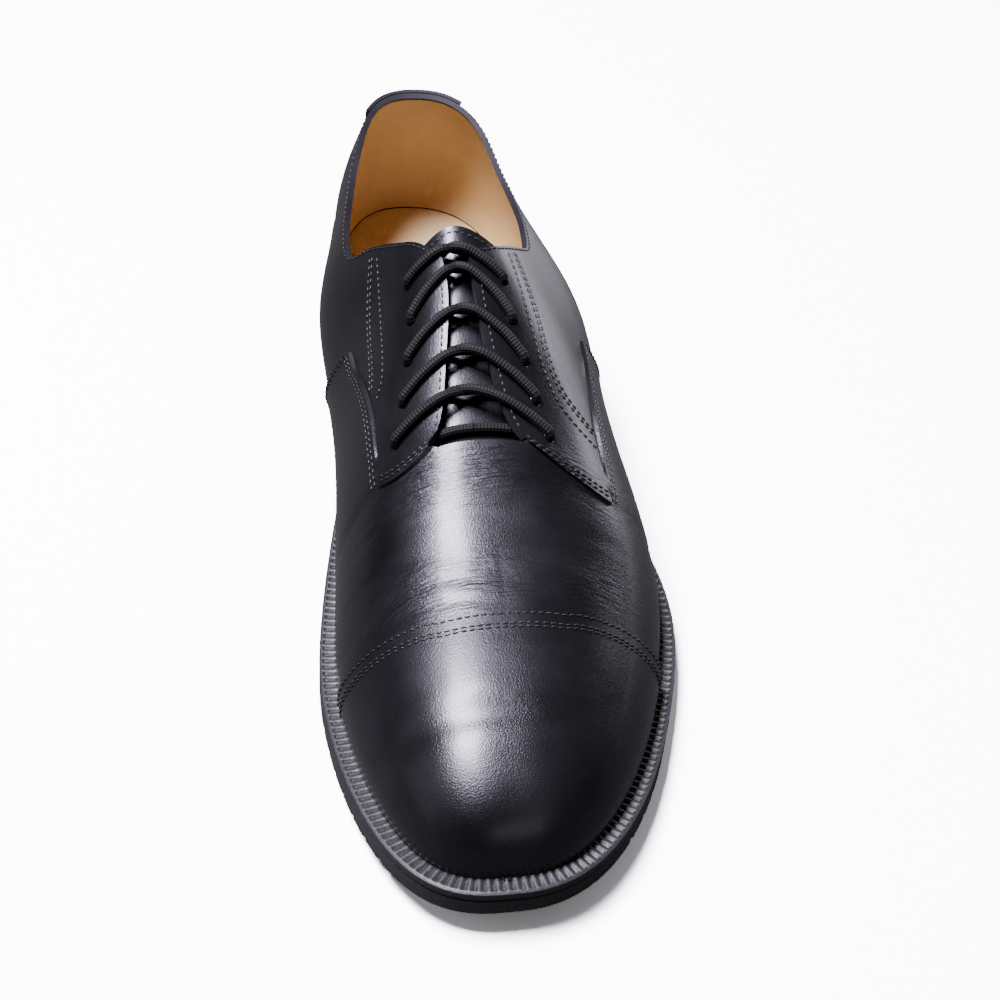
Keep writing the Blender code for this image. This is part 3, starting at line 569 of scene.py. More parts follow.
def leather(name, dark, light, gloss, fineness=1.0, depth=0.00004, wrinkle_mark=None, coat=0.25, band=None,
            shine=0.5):
    """Leather between two shades, with grain in its bump and a cloudy gloss."""
    mat, tree, shader = new_material(name)
    grain = value_node(tree, "ShaderNodeGroup", node_tree=GRAIN)
    grain.inputs["Fineness"].default_value = fineness
    if wrinkle_mark:
        mark = value_node(tree, "ShaderNodeAttribute", attribute_name=wrinkle_mark)
        tree.links.new(mark.outputs["Fac"], grain.inputs["Wrinkle"])
    shade = ramp(tree, grain.outputs["Shade"], dark, light, CLOUD)
    if band:
        below = value_node(tree, "ShaderNodeAttribute", attribute_name="below")
        mix = value_node(tree, "ShaderNodeMix", data_type="RGBA")
        tree.links.new(ramp(tree, below.outputs["Fac"], 0.0, 1.0, band), mix.inputs["Factor"])
        mix.inputs["A"].default_value = BINDING_BLACK
        tree.links.new(shade, mix.inputs["B"])
        shade = mix.outputs["Result"]
    tree.links.new(shade, shader.inputs["Base Color"])
    tree.links.new(ramp(tree, grain.outputs["Shade"], *gloss, CLOUD), shader.inputs["Roughness"])
    bumped(tree, shader, grain.outputs["Height"], depth)
    set_inputs(shader, Coat_Weight=coat, Coat_Roughness=0.18, Specular_IOR_Level=shine,
               Specular_Tint=(0.90, 0.87, 1.0, 1.0))
    return mat


black_calf = leather(
    "black_calf", (0.0022, 0.0021, 0.0028), (0.0046, 0.0043, 0.0057), (0.27, 0.37),
    fineness=1.25, depth=0.00006, wrinkle_mark="flex", coat=0.22)
tan_lining = leather(
    "tan_lining", (0.50, 0.32, 0.14), (0.66, 0.45, 0.22), (0.5, 0.65),
    fineness=0.6, coat=0.0, band=BINDING, shine=0.3)
cut_edge = leather(
    "cut_edge", (0.008, 0.0078, 0.010), (0.020, 0.019, 0.023), (0.5, 0.65),
    fineness=1.2, coat=0.0, shine=0.15)


THROAT_FLEX = (0.630, 0.030)
BALL_FLEX = (0.740, 0.028)
BALL_SHARE = {MEDIAL: 0.9, LATERAL: 0.5}
FLEX_MOST, FLEX_LEAST = 7.5, 0.3


def flex_mark(side, u, phi, raised):
    """Share of fine wrinkling: most below the tabs and behind the cap, none down the sides."""
    throat, ball = (np.exp(-((from_back(u) - at) / wide)**2) for at, wide in (THROAT_FLEX, BALL_FLEX))
    return (throat + ball * BALL_SHARE[side]) * np.clip(phi / 0.8 - 0.3, 0, 1) * FLEX_MOST + FLEX_LEAST


def edge_distance(side, u, phi, raised):
    """Distance below the top edge, along each rib."""
    points = last(side, u, phi, 0.0)
    steps = np.linalg.norm(np.diff(points, axis=1), axis=-1)
    length = np.concatenate([np.zeros((len(points), 1)), np.cumsum(steps, axis=1)], axis=1)
    return np.abs(length[:, TOP_COLUMN:TOP_COLUMN + 1] - length)


upper_points = both_sides(lambda side, u, phi, raised: last(side, u, phi, face_out(side, u, phi, raised)))
open_cells = np.zeros((upper_points.shape[0] - 1, upper_points.shape[1] - 1), bool)
open_cells[:first_row(TAB_EDGE + 1), TOP_COLUMN:open_cells.shape[1] - TOP_COLUMN] = True
upper_marks = {"flex": both_sides(flex_mark), "below": both_sides(edge_distance)}
upper = laid_sheet("upper_leather", upper_points, open_cells, upper_marks)
for mat in (black_calf, tan_lining, cut_edge):
    upper.data.materials.append(mat)
walled(upper, WALL, inner=1, rim=2)

EYELETS = (
    (0.427, 0.148, 0.143), (0.470, 0.156, 0.154), (0.511, 0.176, 0.183), (0.550, 0.200, 0.202),
    (0.586, 0.232, 0.227),
)
EYELET_SKEW = 0.008
EYELET_R = 0.0019
EYELET_SIDES = 24


def eyelet_place(side, row):
    """Station and angle of one eyelet."""
    share, medial, lateral = EYELETS[row]
    u = share + side * EYELET_SKEW
    return u, float(angle_at(side, u, lateral if side > 0 else medial))


def along_to(direction, centre):
    """Matrix that stands a shape's Z axis along a direction at a place."""
    turn = Vector(direction).to_track_quat("Z", "Y").to_matrix().to_4x4()
    return Matrix.Translation(Vector(centre)) @ turn


bm = bmesh.new()
for row in range(len(EYELETS)):
    for side in (MEDIAL, LATERAL):
        u, phi = eyelet_place(side, row)
        bmesh.ops.create_cone(
            bm, cap_ends=True, segments=EYELET_SIDES, radius1=EYELET_R, radius2=EYELET_R, depth=4 * WALL,
            matrix=along_to(last_normal(side, np.float64(u), np.float64(phi)), last(side, u, phi, 0.0)))
carve(upper, bm, "punches")
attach(upper, "root")
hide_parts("upper")

# Toe cap: a second layer of the same calf over the front of the vamp, cut square at its rear
# edge and held by three rows of stitches
OVERLAY = 0.0012


def overlay(name, start, stop, drop=False):
    """Layer of calf over the upper between two of its rows."""
    def out(side, u, phi, raised):
        return last(side, u, phi, GAP + OVERLAY + creases(side, u, phi))
    points = both_sides(out)[start:stop]
    cells = np.zeros((points.shape[0] - 1, points.shape[1] - 1), bool)
    if drop:
        cells[:, TOP_COLUMN:cells.shape[1] - TOP_COLUMN] = True
    obj = laid_sheet(name, points, cells, {"flex": both_sides(flex_mark)[start:stop]})
    for mat in (black_calf, cut_edge):
        obj.data.materials.append(mat)
    walled(obj, OVERLAY, inner=0, rim=1)
    settle(obj)
    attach(obj, "root")
    return obj


toe_cap = overlay("toe_cap_leather", first_row(CAP_EDGE), None)
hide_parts("toe_cap")

# Back strip: a narrow band of calf that covers the seam up the back of the heel, laid over the
# quarters like the toe cap
STRIP_RIB = 2
back_strip = overlay("back_strip_leather", 0, first_row(STRIP_RIB) + 1, drop=True)
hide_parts("back_strip")

# Tongue: soft calf sewn to the vamp's lining in front, lying free under the facings; its top
# runs straight on behind them, up and back
LACE_R = 0.0015
TONGUE_THICK = 0.0022
TONGUE_STATIONS = (0.372, 0.640)
TONGUE_HALF = (0.235, 0.185)
TONGUE_DROP = 0.0038
TONGUE_RISE = (0.590, 0.612)
TONGUE_STRAIGHT = 0.44
TONGUE_CORNER = 0.014
TONGUE_FLARE = 0.0022
TONGUE_EASING = 60
TONGUE_ROWS = 60
TONGUE_COLUMNS = 40


def throat_point(side, u, spread, out):
    """Point over the throat; a negative spread lies on the far side of the ridge."""
    face = side if spread >= 0 else -side
    return last(face, u, angle_at(face, u, abs(spread)), out)


def tongue_point(share, s):
    """Point of the tongue's face, share along it and s from -1 to 1 across it."""
    u = TONGUE_STATIONS[0] + (TONGUE_STATIONS[1] - TONGUE_STATIONS[0]) * share
    spread = s * (TONGUE_HALF[0] + (TONGUE_HALF[1] - TONGUE_HALF[0]) * share)
    depth = np.interp(u, TONGUE_RISE, (WALL + TONGUE_DROP, WALL + 2 * GAP))
    depth = depth - TONGUE_FLARE * min(abs(s) / 0.6, 1)**2 * max(1 - share * 4, 0)
    u = u + TONGUE_CORNER * s**4 * max(1 - share * 10, 0)
    ahead = 0.01
    base = max(u, TONGUE_STRAIGHT)
    here, front = (throat_point(LATERAL, v, spread, -depth) for v in (base, base + ahead))
    return here + (here - front) * (base - u) / ahead


tongue_grid = np.array([
    [tongue_point(share, s) for s in np.linspace(-1, 1, TONGUE_COLUMNS)]
    for share in np.linspace(0, 1, TONGUE_ROWS)
])
arched = np.clip(1 - 2.5 * np.linspace(0, 1, TONGUE_ROWS), 0, 1)[:, np.newaxis, np.newaxis]
for _ in range(TONGUE_EASING):
    tongue_grid[:, 1:-1] += arched / 4 * (tongue_grid[:, 2:] - 2 * tongue_grid[:, 1:-1] + tongue_grid[:, :-2])
tongue = laid_sheet("tongue_leather", tongue_grid, marks={"flex": np.full(tongue_grid.shape[:2], 0.4)})
for mat in (black_calf, cut_edge):
    tongue.data.materials.append(mat)
walled(tongue, TONGUE_THICK, inner=0, rim=1)
settle(tongue)
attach(tongue, "root")
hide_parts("tongue")

# Lace: one round braided cotton cord. From a bar under the lowest holes each half comes up
# through a hole, crosses the throat on top and dives under the facing to the next hole up
BAR_STATION = 0.587
TOP_CROSSING = 0.407
LACE_SIDES = 16
LACE_STEP = 0.0006
THROAT_GAP = natural([(rib[3], rib[6]) for rib in FACING_RIBS])
TAB_RISE = (0.52, 0.585)


def spread_of(side, row):
    return EYELETS[row][1 if side < 0 else 2]


def crossing(side, row):
    """Points from inside one hole, over the throat and under the facing across from it."""
    u, _ = eyelet_place(side, row)
    start = spread_of(side, row)
    goal = EYELETS[row - 1][0] if row else TOP_CROSSING
    gap = float(THROAT_GAP(goal + (u - goal) / 4))
    over = LACE_R * 0.92
    under = -(WALL + LACE_R)
    lift = LACE_R * (0.75 if side > 0 else -0.95)
    stops = [(start, -WALL / 2), (start - 0.006, over * 0.8), (start - 0.022, over)]
    stops += [((start + gap) / 2, over), (gap * 1.08, over * 0.9), (gap * 0.6, over / 2 + lift * 0.5)]
    stops += [(0.0, under / 4 + lift), (-gap * 0.6, under * 0.75 + lift * 0.35), (-gap * 1.08, under)]
    stops += [(-gap - 0.04, under)]
    points = []
    for spread, out in stops:
        done = (start - spread) / (start + gap)
        station = goal + (u - goal) * max(1 - done, 0)**2
        share = np.clip((station - TAB_RISE[0]) / (TAB_RISE[1] - TAB_RISE[0]), 0, 1)
        lip = LIP * float(share) if spread >= gap else 0.0
        points.append(throat_point(side, station, spread, out + lip))
    return points


def strand(side):
    """Half of the lace, from the middle of the bar to its hidden end."""
    under = -(WALL + LACE_R)
    first = spread_of(side, len(EYELETS) - 1)
    points = [throat_point(side, BAR_STATION, s * first, under) for s in (0.0, 0.3, 0.6, 0.85)]
    here = side
    for row in reversed(range(len(EYELETS))):
        u, phi = eyelet_place(here, row)
        points.append(last(here, u, phi, -WALL - LACE_R * 0.8))
        points += crossing(here, row)
        here = -here
    return np.array(points)


def smooth_path(points, step):
    """Even points along a smooth curve through a route."""
    points = np.asarray(points, float)
    run = np.concatenate([[0], np.cumsum(np.sqrt(np.linalg.norm(np.diff(points, axis=0), axis=1)))])
    fine = np.linspace(0, run[-1], 40 * len(points))
    before = np.concatenate([[2 * points[0] - points[1]], points, [2 * points[-1] - points[-2]]])
    knots = np.concatenate([[2 * run[0] - run[1]], run, [2 * run[-1] - run[-2]]])
    k = np.clip(np.searchsorted(run, fine, side="right") - 1, 0, len(points) - 2)
    curve = []
    for t, i in zip(fine, k):
        p, s = before[i:i + 4], knots[i:i + 4]
        a = [p[n] + (p[n + 1] - p[n]) * (t - s[n]) / (s[n + 1] - s[n]) for n in range(3)]
        b = [a[n] + (a[n + 1] - a[n]) * (t - s[n]) / (s[n + 2] - s[n]) for n in range(2)]
        curve.append(b[0] + (b[1] - b[0]) * (t - s[1]) / (s[2] - s[1]))
    curve = np.array(curve)
    length = run_length(curve)
    at = np.linspace(0, length[-1], max(2, round(length[-1] / step)) + 1)
    return np.stack([np.interp(at, length, curve[:, k]) for k in range(3)], -1), length[-1]


def closed_up(obj, mat):
    """Closes a form's open ends, turns its faces out and gives it its material."""
    bm = bmesh.new()
    bm.from_mesh(obj.data)
    bmesh.ops.holes_fill(bm, edges=[e for e in bm.edges if e.is_boundary], sides=0)
    bmesh.ops.recalc_face_normals(bm, faces=bm.faces)
    bm.to_mesh(obj.data)
    bm.free()
    obj.data.shade_smooth()
    obj.data.materials.append(mat)
    return obj


def tube(name, path, radius, sides, mat):
    """Round cord along a path; its map runs round the cord in U and along it in V."""
    tangent = np.gradient(path, axis=0)
    tangent /= np.linalg.norm(tangent, axis=1)[:, None]
    carried = [np.cross(tangent[0], (0.0, 0.6, 0.8))]
    for t in tangent[1:]:
        carried.append(carried[-1] - t * np.dot(carried[-1], t))
    across = np.array([a / np.linalg.norm(a) for a in carried])
    upward = np.cross(across, tangent)
    turn = np.linspace(0, 2 * np.pi, sides + 1)[:, None]
    rings = path[:, None] + radius * (across[:, None] * np.cos(turn) + upward[:, None] * np.sin(turn))
    return closed_up(laid_sheet(name, rings), mat)


PLAITS_ROUND = 5.0
PLAIT_PITCH = 0.0021
PLAIT_DEPTH = 0.00022


def lace_material(length):
    """Waxed black cotton: two sets of plaits wind round the cord against each other; its colour is painted
    shade, darker in the plaits' hollows and lighter on their crowns.
    """
    mat, tree, shader = new_material("lace_cotton")
    place = value_node(tree, "ShaderNodeUVMap", uv_map="weave")
    waves = []
    for hand in (-1, 1):
        spiral = value_node(tree, "ShaderNodeVectorMath", operation="DOT_PRODUCT")
        turns = Vector((PLAITS_ROUND * hand, length / PLAIT_PITCH, 0.0))
        spiral.inputs[1].default_value = 2 * math.pi * turns
        tree.links.new(place.outputs["UV"], spiral.inputs[0])
        wave = value_node(tree, "ShaderNodeMath", operation="SINE")
        tree.links.new(spiral.outputs["Value"], wave.inputs[0])
        waves.append(wave.outputs[0])
    height = value_node(tree, "ShaderNodeMath", operation="MULTIPLY")
    for k in range(2):
        tree.links.new(waves[k], height.inputs[k])
    shade = ramp(tree, height.outputs[0], 0.0, 1.0, (-1.0, 1.0))
    # Painted shade: the colour follows the plaits' relief, darker in the hollows and lighter on the crowns
    colour = ramp(tree, shade, (0.0010, 0.0010, 0.0013), (0.0045, 0.0043, 0.0053), (0.2, 0.8))
    tree.links.new(colour, shader.inputs["Base Color"])
    set_inputs(shader, Specular_IOR_Level=0.3)
    tree.links.new(ramp(tree, shade, 0.85, 0.55), shader.inputs["Roughness"])
    bumped(tree, shader, shade, PLAIT_DEPTH)
    return mat


lace_paths = {side: smooth_path(strand(side), LACE_STEP) for side in (MEDIAL, LATERAL)}
lace_length = sum(length for _, length in lace_paths.values())
lace_cotton = lace_material(lace_length / 2)
for side, name in ((MEDIAL, "lace_medial_half"), (LATERAL, "lace_lateral_half")):
    half = tube(name, lace_paths[side][0], LACE_R, LACE_SIDES, lace_cotton)
    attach(half, "root")
    if side == MEDIAL:
        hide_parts("lace_bar", *(f"lace_row_{k + 1}" for k in range(len(EYELETS))))

# Stitches: waxed thread, each stitch a small bead sunk at both ends. Rows follow the top edge,
# the facings, the wing seam, the cap and the back strip, with three curved rows on each quarter
STITCH_PITCH = 0.0024
STITCH_LONG = 0.0018
THREAD_R = 0.00030
THREAD_PROUD = 0.35
ROW_GAP = 0.0017


def speckled(name, size, dark, light, gloss, detail=2.0, depth=0.0):
    """Material with a fine speckle in its colour and gloss, and in its bump if it has a depth."""
    mat, tree, shader = new_material(name)
    place = tree.nodes.new("ShaderNodeTexCoord")
    speck = tree.nodes.new("ShaderNodeTexNoise")
    set_inputs(speck, Scale=size, Detail=detail)
    tree.links.new(place.outputs["Object"], speck.inputs["Vector"])
    tree.links.new(ramp(tree, speck.outputs["Fac"], dark, light, CLOUD), shader.inputs["Base Color"])
    tree.links.new(ramp(tree, speck.outputs["Fac"], *gloss), shader.inputs["Roughness"])
    if depth:
        bumped(tree, shader, speck.outputs["Fac"], depth)
    return mat


waxed_thread = speckled("waxed_thread", 2500.0, (0.006, 0.006, 0.007), (0.020, 0.019, 0.023), (0.32, 0.5))


def stitches(name, carrier, runs):
    """Beads of thread along runs of points, set down on the face of their carrier."""
    corners = [v.co for v in carrier.data.vertices]
    tree = BVHTree.FromPolygons(corners, [face.vertices[:] for face in carrier.data.polygons])
    bm = bmesh.new()
    for run in runs:
        path, _ = smooth_path(run, STITCH_PITCH)
        for a, b in zip(path, path[1:]):
            place, normal, _, _ = tree.find_nearest((a + b) / 2)
            along = Vector(b - a)
            along.normalize()
            turn = Matrix((normal.cross(along).normalized(), normal, along)).transposed().to_4x4()
            size = Matrix.Diagonal((THREAD_R, THREAD_R, STITCH_LONG / 2, 1.0))
            stand = Matrix.Translation(place + normal * THREAD_R * THREAD_PROUD) @ turn @ size
            bmesh.ops.create_uvsphere(bm, u_segments=6, v_segments=4, radius=1.0, matrix=stand)
    bmesh.ops.recalc_face_normals(bm, faces=bm.faces)
    obj = shaped(name, bm)
    obj.data.materials.append(waxed_thread)
    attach(obj, "root")


def face_line(side, stations, angles, lift=LIP):
    """Points just over the leather at stations and angles."""
    return last(side, np.asarray(stations, float), np.asarray(angles, float), lift)


def lattice_line(side, rows, columns, lift=LIP):
    """Points just over the leather along part of a row or column of the lattice."""
    u, phi, _ = (grid[rows, columns] for grid in LATTICE[side])
    return face_line(side, u, phi, lift)


def quarter_row(side, stops, aside=0.0):
    """Run through stations and degrees, moved aside over the leather."""
    line, _ = smooth_path(face_line(side, *np.array([(u, math.radians(deg)) for u, deg in stops]).T), 0.004)
    along = np.gradient(line, axis=0)
    out = line - np.array([0.0, 0.0, line[:, 2].mean() / 2])
    out[:, 1] = 0.0
    beside = np.cross(along, out)
    return line + aside * beside / np.linalg.norm(beside, axis=1)[:, None]


TWIN_ROWS = {
    LATERAL: (
        (0.377, 55.4), (0.428, 57.8), (0.465, 58.6), (0.497, 59.3),
        (0.531, 57.0), (0.548, 51.0), (0.557, 44.6)),
    MEDIAL: ((0.334, 41.0), (0.365, 38.6), (0.400, 37.4), (0.440, 38.4), (0.468, 39.6), (0.486, 39.6)),
}
LONE_ROWS = {
    LATERAL: (
        (0.388, 60.8), (0.422, 62.3), (0.470, 63.6), (0.515, 63.0),
        (0.547, 60.1), (0.566, 53.6), (0.576, 45.6)),
    MEDIAL: ((0.343, 43.8), (0.388, 43.4), (0.427, 44.5), (0.466, 46.4), (0.494, 46.6), (0.508, 43.4)),
}
CAP_ROWS = (0.0045, 0.0155, 0.0195)
TONGUE_ROW = 0.035
collar_rows = slice(first_row(STRIP_RIB) + 2, first_row(len(COLLAR_RIBS)), 3)
facing_rows = slice(first_row(len(COLLAR_RIBS) + 1), first_row(TAB_EDGE) - 1, 3)
wing_rows = slice(first_row(WING_REAR) + 2, first_row(TAB_EDGE) + 2, 3)
tab_row = first_row(TAB_EDGE)
rear_row = first_row(WING_REAR)
edge_runs, quarter_runs, wing_runs, cap_runs, strip_runs = [], [], [], [], []
for side in (MEDIAL, LATERAL):
    edge_runs.append(lattice_line(side, collar_rows, TOP_COLUMN - 2))
    edge_runs.append(lattice_line(side, facing_rows, TOP_COLUMN - 2))
    quarter_runs += [quarter_row(side, TWIN_ROWS[side], aside) for aside in (-ROW_GAP / 2, ROW_GAP / 2)]
    quarter_runs.append(quarter_row(side, LONE_ROWS[side]))
    for back in (1, 2):
        edge_runs.append(lattice_line(side, tab_row - back, slice(COLUMNS[0] + 2, TOP_COLUMN - 2, 3)))
        wing_runs.append(lattice_line(side, wing_rows, COLUMNS[0] - back))
        wing_runs.append(lattice_line(side, rear_row + back, slice(1, COLUMNS[0], 3)))
    strip_row = first_row(STRIP_RIB) - 1
    strip_runs.append(lattice_line(side, strip_row, slice(1, TOP_COLUMN - 1, 3), GAP + OVERLAY))
for ahead in CAP_ROWS:
    halves = []
    for side in (MEDIAL, LATERAL):
        u, phi, _ = (grid[first_row(CAP_EDGE), 2::3] for grid in LATTICE[side])
        halves.append(face_line(side, u + ahead, phi, GAP + OVERLAY))
    cap_runs.append(np.concatenate([halves[0], halves[1][::-1]]))
stitches("edge_stitches", upper, edge_runs)
stitches("quarter_stitches", upper, quarter_runs)
stitches("wing_stitches", upper, wing_runs)
stitches("cap_stitches", toe_cap, cap_runs)
stitches("strip_stitches", back_strip, strip_runs)
top_run = np.array([tongue_point(TONGUE_ROW, s) for s in np.linspace(-0.85, 0.85, 15)])
stitches("tongue_stitches", tongue, [top_run])

# Welt: a black rubber strip round the foot, ribbed across its upper face from the waist forward,
# with a thin plain rim
WELT_THICK = 0.0030
RIB_PITCH = 0.0026
RIB_DEPTH = 0.0007
RIB_BAND = 0.0044
RIB_STEPS = 8
RIB_SOFT = 0.0003
RIM = 0.0013
RIBS_FROM = 0.46


moulded_rubber = speckled(
    "moulded_rubber", 1400.0, (0.012, 0.0115, 0.0145), (0.027, 0.026, 0.031), (0.36, 0.58), 4.0, 0.0001)


def edge_stations(side, start):
    """Stations and rib phases evenly along the outer edge, from a station to the toe."""
    toe = 1 - (1 - TOE_START) * np.linspace(1, 0, 400)[1:]**3
    fine = np.concatenate([np.linspace(start, TOE_START, 200), toe])
    edge = foot_plan(side, fine, welt_out(side, fine) / 2)
    length = run_length(edge)
    ribs = round(length[-1] / RIB_PITCH)
    phase = np.arange(ribs * RIB_STEPS + 1) / RIB_STEPS
    return np.interp(phase * length[-1] / ribs, length, fine), phase


def half_welt(side):
    """Sections of one side from the heel's back to the toe, sunk between the ribs."""
    plain = np.concatenate([np.linspace(0, HEEL_END, 50), np.linspace(HEEL_END, RIBS_FROM, 40)[1:-1]])
    ribbed, phase = edge_stations(side, RIBS_FROM)
    u, phase = np.concatenate([plain, ribbed]), np.concatenate([0 * plain, phase])
    out = welt_out(side, u)
    band = out - RIM - RIB_BAND * out / WELT_OUT
    sunk = RIB_DEPTH * (1 - abs(np.cos(np.pi * phase))**1.5)
    soft = RIB_SOFT
    profile = (
        (-WALL, WELT_THICK), (-WALL, 0.0), (band - soft, 0.0), (band + soft, sunk), (out - RIM - soft, sunk),
        (out - RIM + soft, 0.0), (out - 2 * soft, RIM / 9), (out - soft / 3, RIM / 3), (out, RIM / 2),
        (out, WELT_THICK - soft), (out - soft, WELT_THICK), (-WALL, WELT_THICK),
    )
    lines = [np.column_stack([foot_plan(side, u, reach), seat(u) - down]) for reach, down in profile]
    return np.stack(lines, axis=1)


welt_rings = np.concatenate([half_welt(LATERAL), half_welt(MEDIAL)[::-1]])
welt = closed_up(laid_sheet("welt_rubber", welt_rings), moulded_rubber)
welt.data.set_sharp_from_angle(angle=math.radians(35))
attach(welt, "root")
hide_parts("welt")

# Outsole: moulded black rubber with eased edges and bars of tread across the forefoot
UNDERSIDE = (
    (0.00, 0.690), (0.15, 0.667), (0.28, 0.540), (0.40, 0.327), (0.50, 0.153), (0.57, 0.047),
    (0.62, 0.000), (0.74, 0.000), (0.80, 0.030), (0.88, 0.110), (1.00, 0.297),
)
SOLE_BOTTOM = natural(UNDERSIDE)
EDGE_ROUND = 0.0010
TREAD_FROM = 0.585
TREAD_PITCH = 0.030
TREAD_COUNT = 13
TREAD_WIDTH = 0.0024
TREAD_DEPTH = 0.0012
ACROSS = np.linspace(0, 1, 13)


def sole_underside(u):
    return np.maximum(SOLE_BOTTOM(from_back(u)), 0) * HEEL_HEIGHT


def slab(name, stations, levels, mat, hollow=0.0):
    """Layer of the sole: levels are pairs of edge offset and height functions, top face first."""
    heights = [height(stations) + 0 * stations for _, height in levels]
    medial, lateral = (
        [foot_plan(side, stations, offset(side, stations)) for offset, _ in levels]
        for side in (MEDIAL, LATERAL))
    top, bottom = ([medial[k] * (1 - a) + lateral[k] * a for a in ACROSS] for k in (0, -1))
    plans = top + lateral[1:-1] + bottom[::-1] + medial[-2:0:-1] + top[:1]
    face, sole = heights[:1], heights[-1:]
    rises = face * len(top) + heights[1:-1] + sole * len(bottom) + heights[-2:0:-1] + face
    rings = np.stack([np.column_stack([plan, z]) for plan, z in zip(plans, rises)], axis=1)
    left, right = medial[0][:, :1], lateral[0][:, :1]
    share = np.clip((rings[..., 0] - left) / (right - left + 1e-9), 0, 1)
    rings[..., 1] += hollow * 4 * share * (1 - share) * ((stations / stations[-1])**6)[:, None]
    closing_ring = rings[-1:].copy()
    closing_ring[..., 2] = (heights[0][-1] + heights[-1][-1]) / 2
    obj = closed_up(laid_sheet(name, np.concatenate([rings, closing_ring])), mat)
    obj.data.set_sharp_from_angle(angle=math.radians(35))
    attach(obj, "root")
    return obj


def eased(out, top, bottom, ease, narrow=0.0):
    """Levels of a slab with eased edges, narrower at the bottom."""
    def level(inset, height):
        return (lambda side, u: out(side, u) - inset), height
    return (
        level(ease, top),
        level(ease * 0.3, lambda u: top(u) - ease * 0.3),
        level(0.0, lambda u: top(u) - ease),
        level(narrow, lambda u: bottom(u) + ease),
        level(narrow + ease * 0.3, lambda u: bottom(u) + ease * 0.3),
        level(narrow + ease, bottom),
    )


heel_round = np.linspace(0, HEEL_END, 40)
toe_round = 1 - (1 - TOE_START) * np.linspace(1, 0, 70)**2.6
sole_stations = np.concatenate([heel_round, np.linspace(HEEL_END, TOE_START, 90)[1:-1], toe_round])
outsole = slab("outsole_rubber", sole_stations, eased(
    welt_out, lambda u: seat(u) - WELT_THICK - GAP, sole_underside, EDGE_ROUND / 2), moulded_rubber)
bars = bmesh.new()
for k in range(TREAD_COUNT):
    u = TREAD_FROM + k * TREAD_PITCH
    rise = float(sole_underside(u + TREAD_PITCH) - sole_underside(u))
    place = Vector((0.0, FOOT_LENGTH * (0.5 - u), float(sole_underside(u)))) - Vector(HOME)
    tilt = Matrix.Rotation(-math.atan2(rise, FOOT_LENGTH * TREAD_PITCH), 4, "X")
    size = Matrix.Diagonal((2 * BALL_WIDTH, TREAD_WIDTH, 2 * TREAD_DEPTH, 1.0))
    bmesh.ops.create_cube(bars, size=1.0, matrix=Matrix.Translation(place) @ tilt @ size)
carve(outsole, bars, "tread_bars", 35.0)
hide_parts("outsole")

# Heel and top piece: a moulded block with a hollow front face, and the wearing layer under it
HEEL_FRONT = 0.25
HEEL_IN = 0.0004
HEEL_TAPER = 0.0012
HEEL_BREAST = 0.0035
HEEL_EASE = 0.0003
TOP_PIECE = 0.0066
heel_stations = np.concatenate([heel_round, np.linspace(HEEL_END, HEEL_FRONT, 14)[1:]])
heel = slab("heel_rubber", heel_stations, eased(
    lambda side, u: welt_out(side, u) - HEEL_IN, lambda u: sole_underside(u) - GAP,
    lambda u: TOP_PIECE + GAP, HEEL_EASE, HEEL_TAPER - HEEL_IN), moulded_rubber, HEEL_BREAST)
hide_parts("heel")
top_piece = slab("top_piece_rubber", heel_stations, eased(
    lambda side, u: welt_out(side, u) - HEEL_TAPER, lambda u: TOP_PIECE, lambda u: 0.0, HEEL_EASE),
    moulded_rubber, HEEL_BREAST)
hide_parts("top_piece")

# Insole: the board with its sock of cream leather, which reaches the lining all round and shows
# through the collar
INSOLE_RISE = 0.0006
sock_leather = leather("sock_leather", (0.58, 0.42, 0.23), (0.70, 0.54, 0.32), (0.45, 0.6), 0.6, coat=0.0)
insole = slab("insole_leather", sole_stations, eased(
    lambda side, u: -WALL - GAP / 6, lambda u: seat(u) + INSOLE_RISE,
    lambda u: seat(u) - WELT_THICK, GAP / 2), sock_leather)
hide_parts("insole")

# Camera: the photograph's distance, height and turn to this shoe, aimed at the one shoe
PICTURE = 1000.0
FOCAL_PX = 2015.0
VIEW_DISTANCE = 0.700
VIEW_ELEVATION = math.radians(42.331)
SHOE_TURN = math.radians(4.548)
SHOE_PLACE = Vector((0.050406, -0.030338, 0.0))
AIM_PX = (683.0, 523.0)
SENSOR_MM = 36.0

to_shoe = Matrix.Rotation(-SHOE_TURN, 3, "Z")
back = Vector((0.0, -math.cos(VIEW_ELEVATION), math.sin(VIEW_ELEVATION)))
eye = to_shoe @ (back * VIEW_DISTANCE - SHOE_PLACE) - Vector(HOME)
right_axis = to_shoe @ Vector((1.0, 0.0, 0.0))
up_axis = to_shoe @ Vector((0.0, math.sin(VIEW_ELEVATION), math.cos(VIEW_ELEVATION)))
back_axis = to_shoe @ back
aim = (AIM_PX[0] - PICTURE / 2) * right_axis - (AIM_PX[1] - PICTURE / 2) * up_axis - FOCAL_PX * back_axis
pan = (-back_axis).rotation_difference(aim.normalized()).to_matrix()
turned = pan @ Matrix((right_axis, up_axis, back_axis)).transposed()
camera_data = bpy.data.cameras.new("camera")
camera_data.sensor_width = SENSOR_MM
camera_data.lens = SENSOR_MM * FOCAL_PX / PICTURE
camera_data.clip_start = 0.01
camera = bpy.data.objects.new("camera", camera_data)
camera.matrix_world = Matrix.Translation(eye) @ turned.to_4x4()
bpy.context.scene.collection.objects.link(camera)
bpy.context.scene.camera = camera
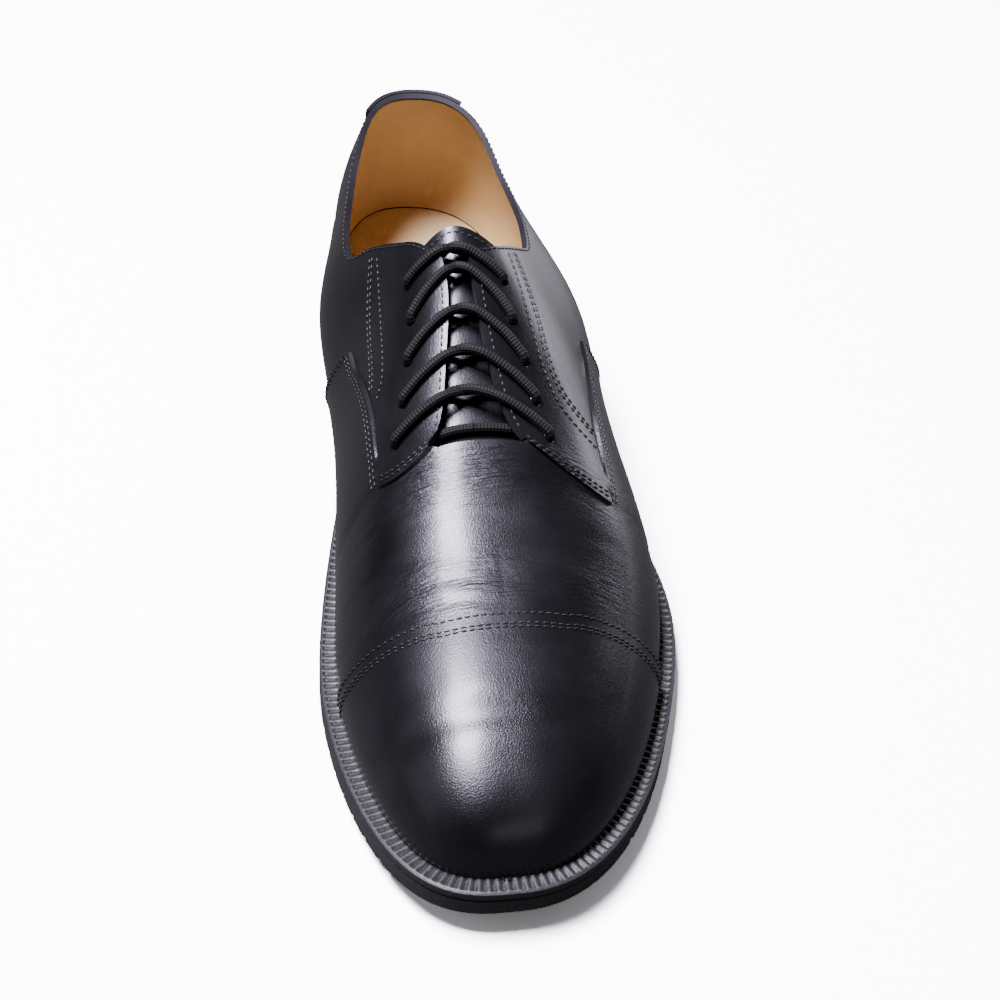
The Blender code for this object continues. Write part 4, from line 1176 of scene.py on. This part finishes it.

# Studio: a pale floor, overexposed where the camera sees it and painted dark in the leather but for a
# painted light patch behind on the little-toe side, which gives that quarter a painted sheen; one soft lamp
# overhead and four weak ones
FLOOR_SIZE = 6.0
SWEEP = 3.6
# Painted light: a light patch painted into the floor's colour on a floor painted near black, seen only by
# rays other than the camera's
PAINTED_LIGHT_MIDDLE = (0.62, 0.52, 0.0)
PAINTED_LIGHT_REACH = (0.34, 0.62)
PAINTED_LIGHT_SHADES = (0.75, 0.03)
floor_with_painted_light, floor_tree, painted_reflection_shader = new_material("floor_with_painted_light")
set_inputs(painted_reflection_shader, Roughness=0.6)
place = floor_tree.nodes.new("ShaderNodeTexCoord")
apart = value_node(floor_tree, "ShaderNodeVectorMath", operation="DISTANCE")
apart.inputs[1].default_value = PAINTED_LIGHT_MIDDLE
floor_tree.links.new(place.outputs["Object"], apart.inputs[0])
painted_light_patch = ramp(floor_tree, apart.outputs["Value"], *PAINTED_LIGHT_SHADES, PAINTED_LIGHT_REACH)
floor_tree.links.new(painted_light_patch, painted_reflection_shader.inputs["Base Color"])
sweep = floor_tree.nodes.new("ShaderNodeBsdfDiffuse")
sweep.inputs["Color"].default_value = (SWEEP, SWEEP, SWEEP, 1.0)
# Camera rays see the evenly bright floor; all other rays see the painted light patch on the painted dark
# floor
seen = floor_tree.nodes.new("ShaderNodeLightPath")
chosen = floor_tree.nodes.new("ShaderNodeMixShader")
floor_tree.links.new(seen.outputs["Is Camera Ray"], chosen.inputs["Fac"])
floor_tree.links.new(painted_reflection_shader.outputs["BSDF"], chosen.inputs[1])
floor_tree.links.new(sweep.outputs["BSDF"], chosen.inputs[2])
floor_tree.links.new(chosen.outputs["Shader"], floor_tree.nodes["Material Output"].inputs["Surface"])
bm = bmesh.new()
bmesh.ops.create_grid(bm, x_segments=1, y_segments=1, size=FLOOR_SIZE)
floor = shaped("floor", bm)
floor.data.materials.append(floor_with_painted_light)


def softbox(name, place, aim_at, size, power, tint=(1.0, 1.0, 1.0)):
    """Rectangular lamp at a place, facing a point."""
    data = bpy.data.lights.new(name, "AREA")
    data.shape = "RECTANGLE"
    data.size, data.size_y = size
    data.energy = power
    data.color = tint
    lamp = link(bpy.data.objects.new(name, data))
    lamp.location = place
    direction = Vector(aim_at) - Vector(place)
    lamp.rotation_euler = direction.to_track_quat("-Z", "Y").to_euler()


SHOE_MIDDLE = (0.0, -0.04, 0.04)
LAVENDER = (0.93, 0.90, 1.0)
softbox("lamp_over", (-0.45, 0.10, 1.50), SHOE_MIDDLE, (0.60, 0.50), 100.0, LAVENDER)
softbox("lamp_low_right", (1.15, 1.20, 0.22), SHOE_MIDDLE, (1.20, 0.40), 8.0, LAVENDER)
softbox("lamp_back", (-0.10, 1.60, 1.20), SHOE_MIDDLE, (1.00, 0.60), 1.6, LAVENDER)
softbox("lamp_left", (-1.20, -0.10, 0.60), SHOE_MIDDLE, (0.70, 0.90), 1.2, LAVENDER)
softbox("lamp_front", (0.40, -1.40, 0.80), SHOE_MIDDLE, (0.90, 0.50), 1.2)
world = bpy.data.worlds.new("studio")
world.use_nodes = True
world.node_tree.nodes["Background"].inputs["Color"].default_value = (0.93, 0.91, 1.0, 1.0)
world.node_tree.nodes["Background"].inputs["Strength"].default_value = 0.045
bpy.context.scene.world = world
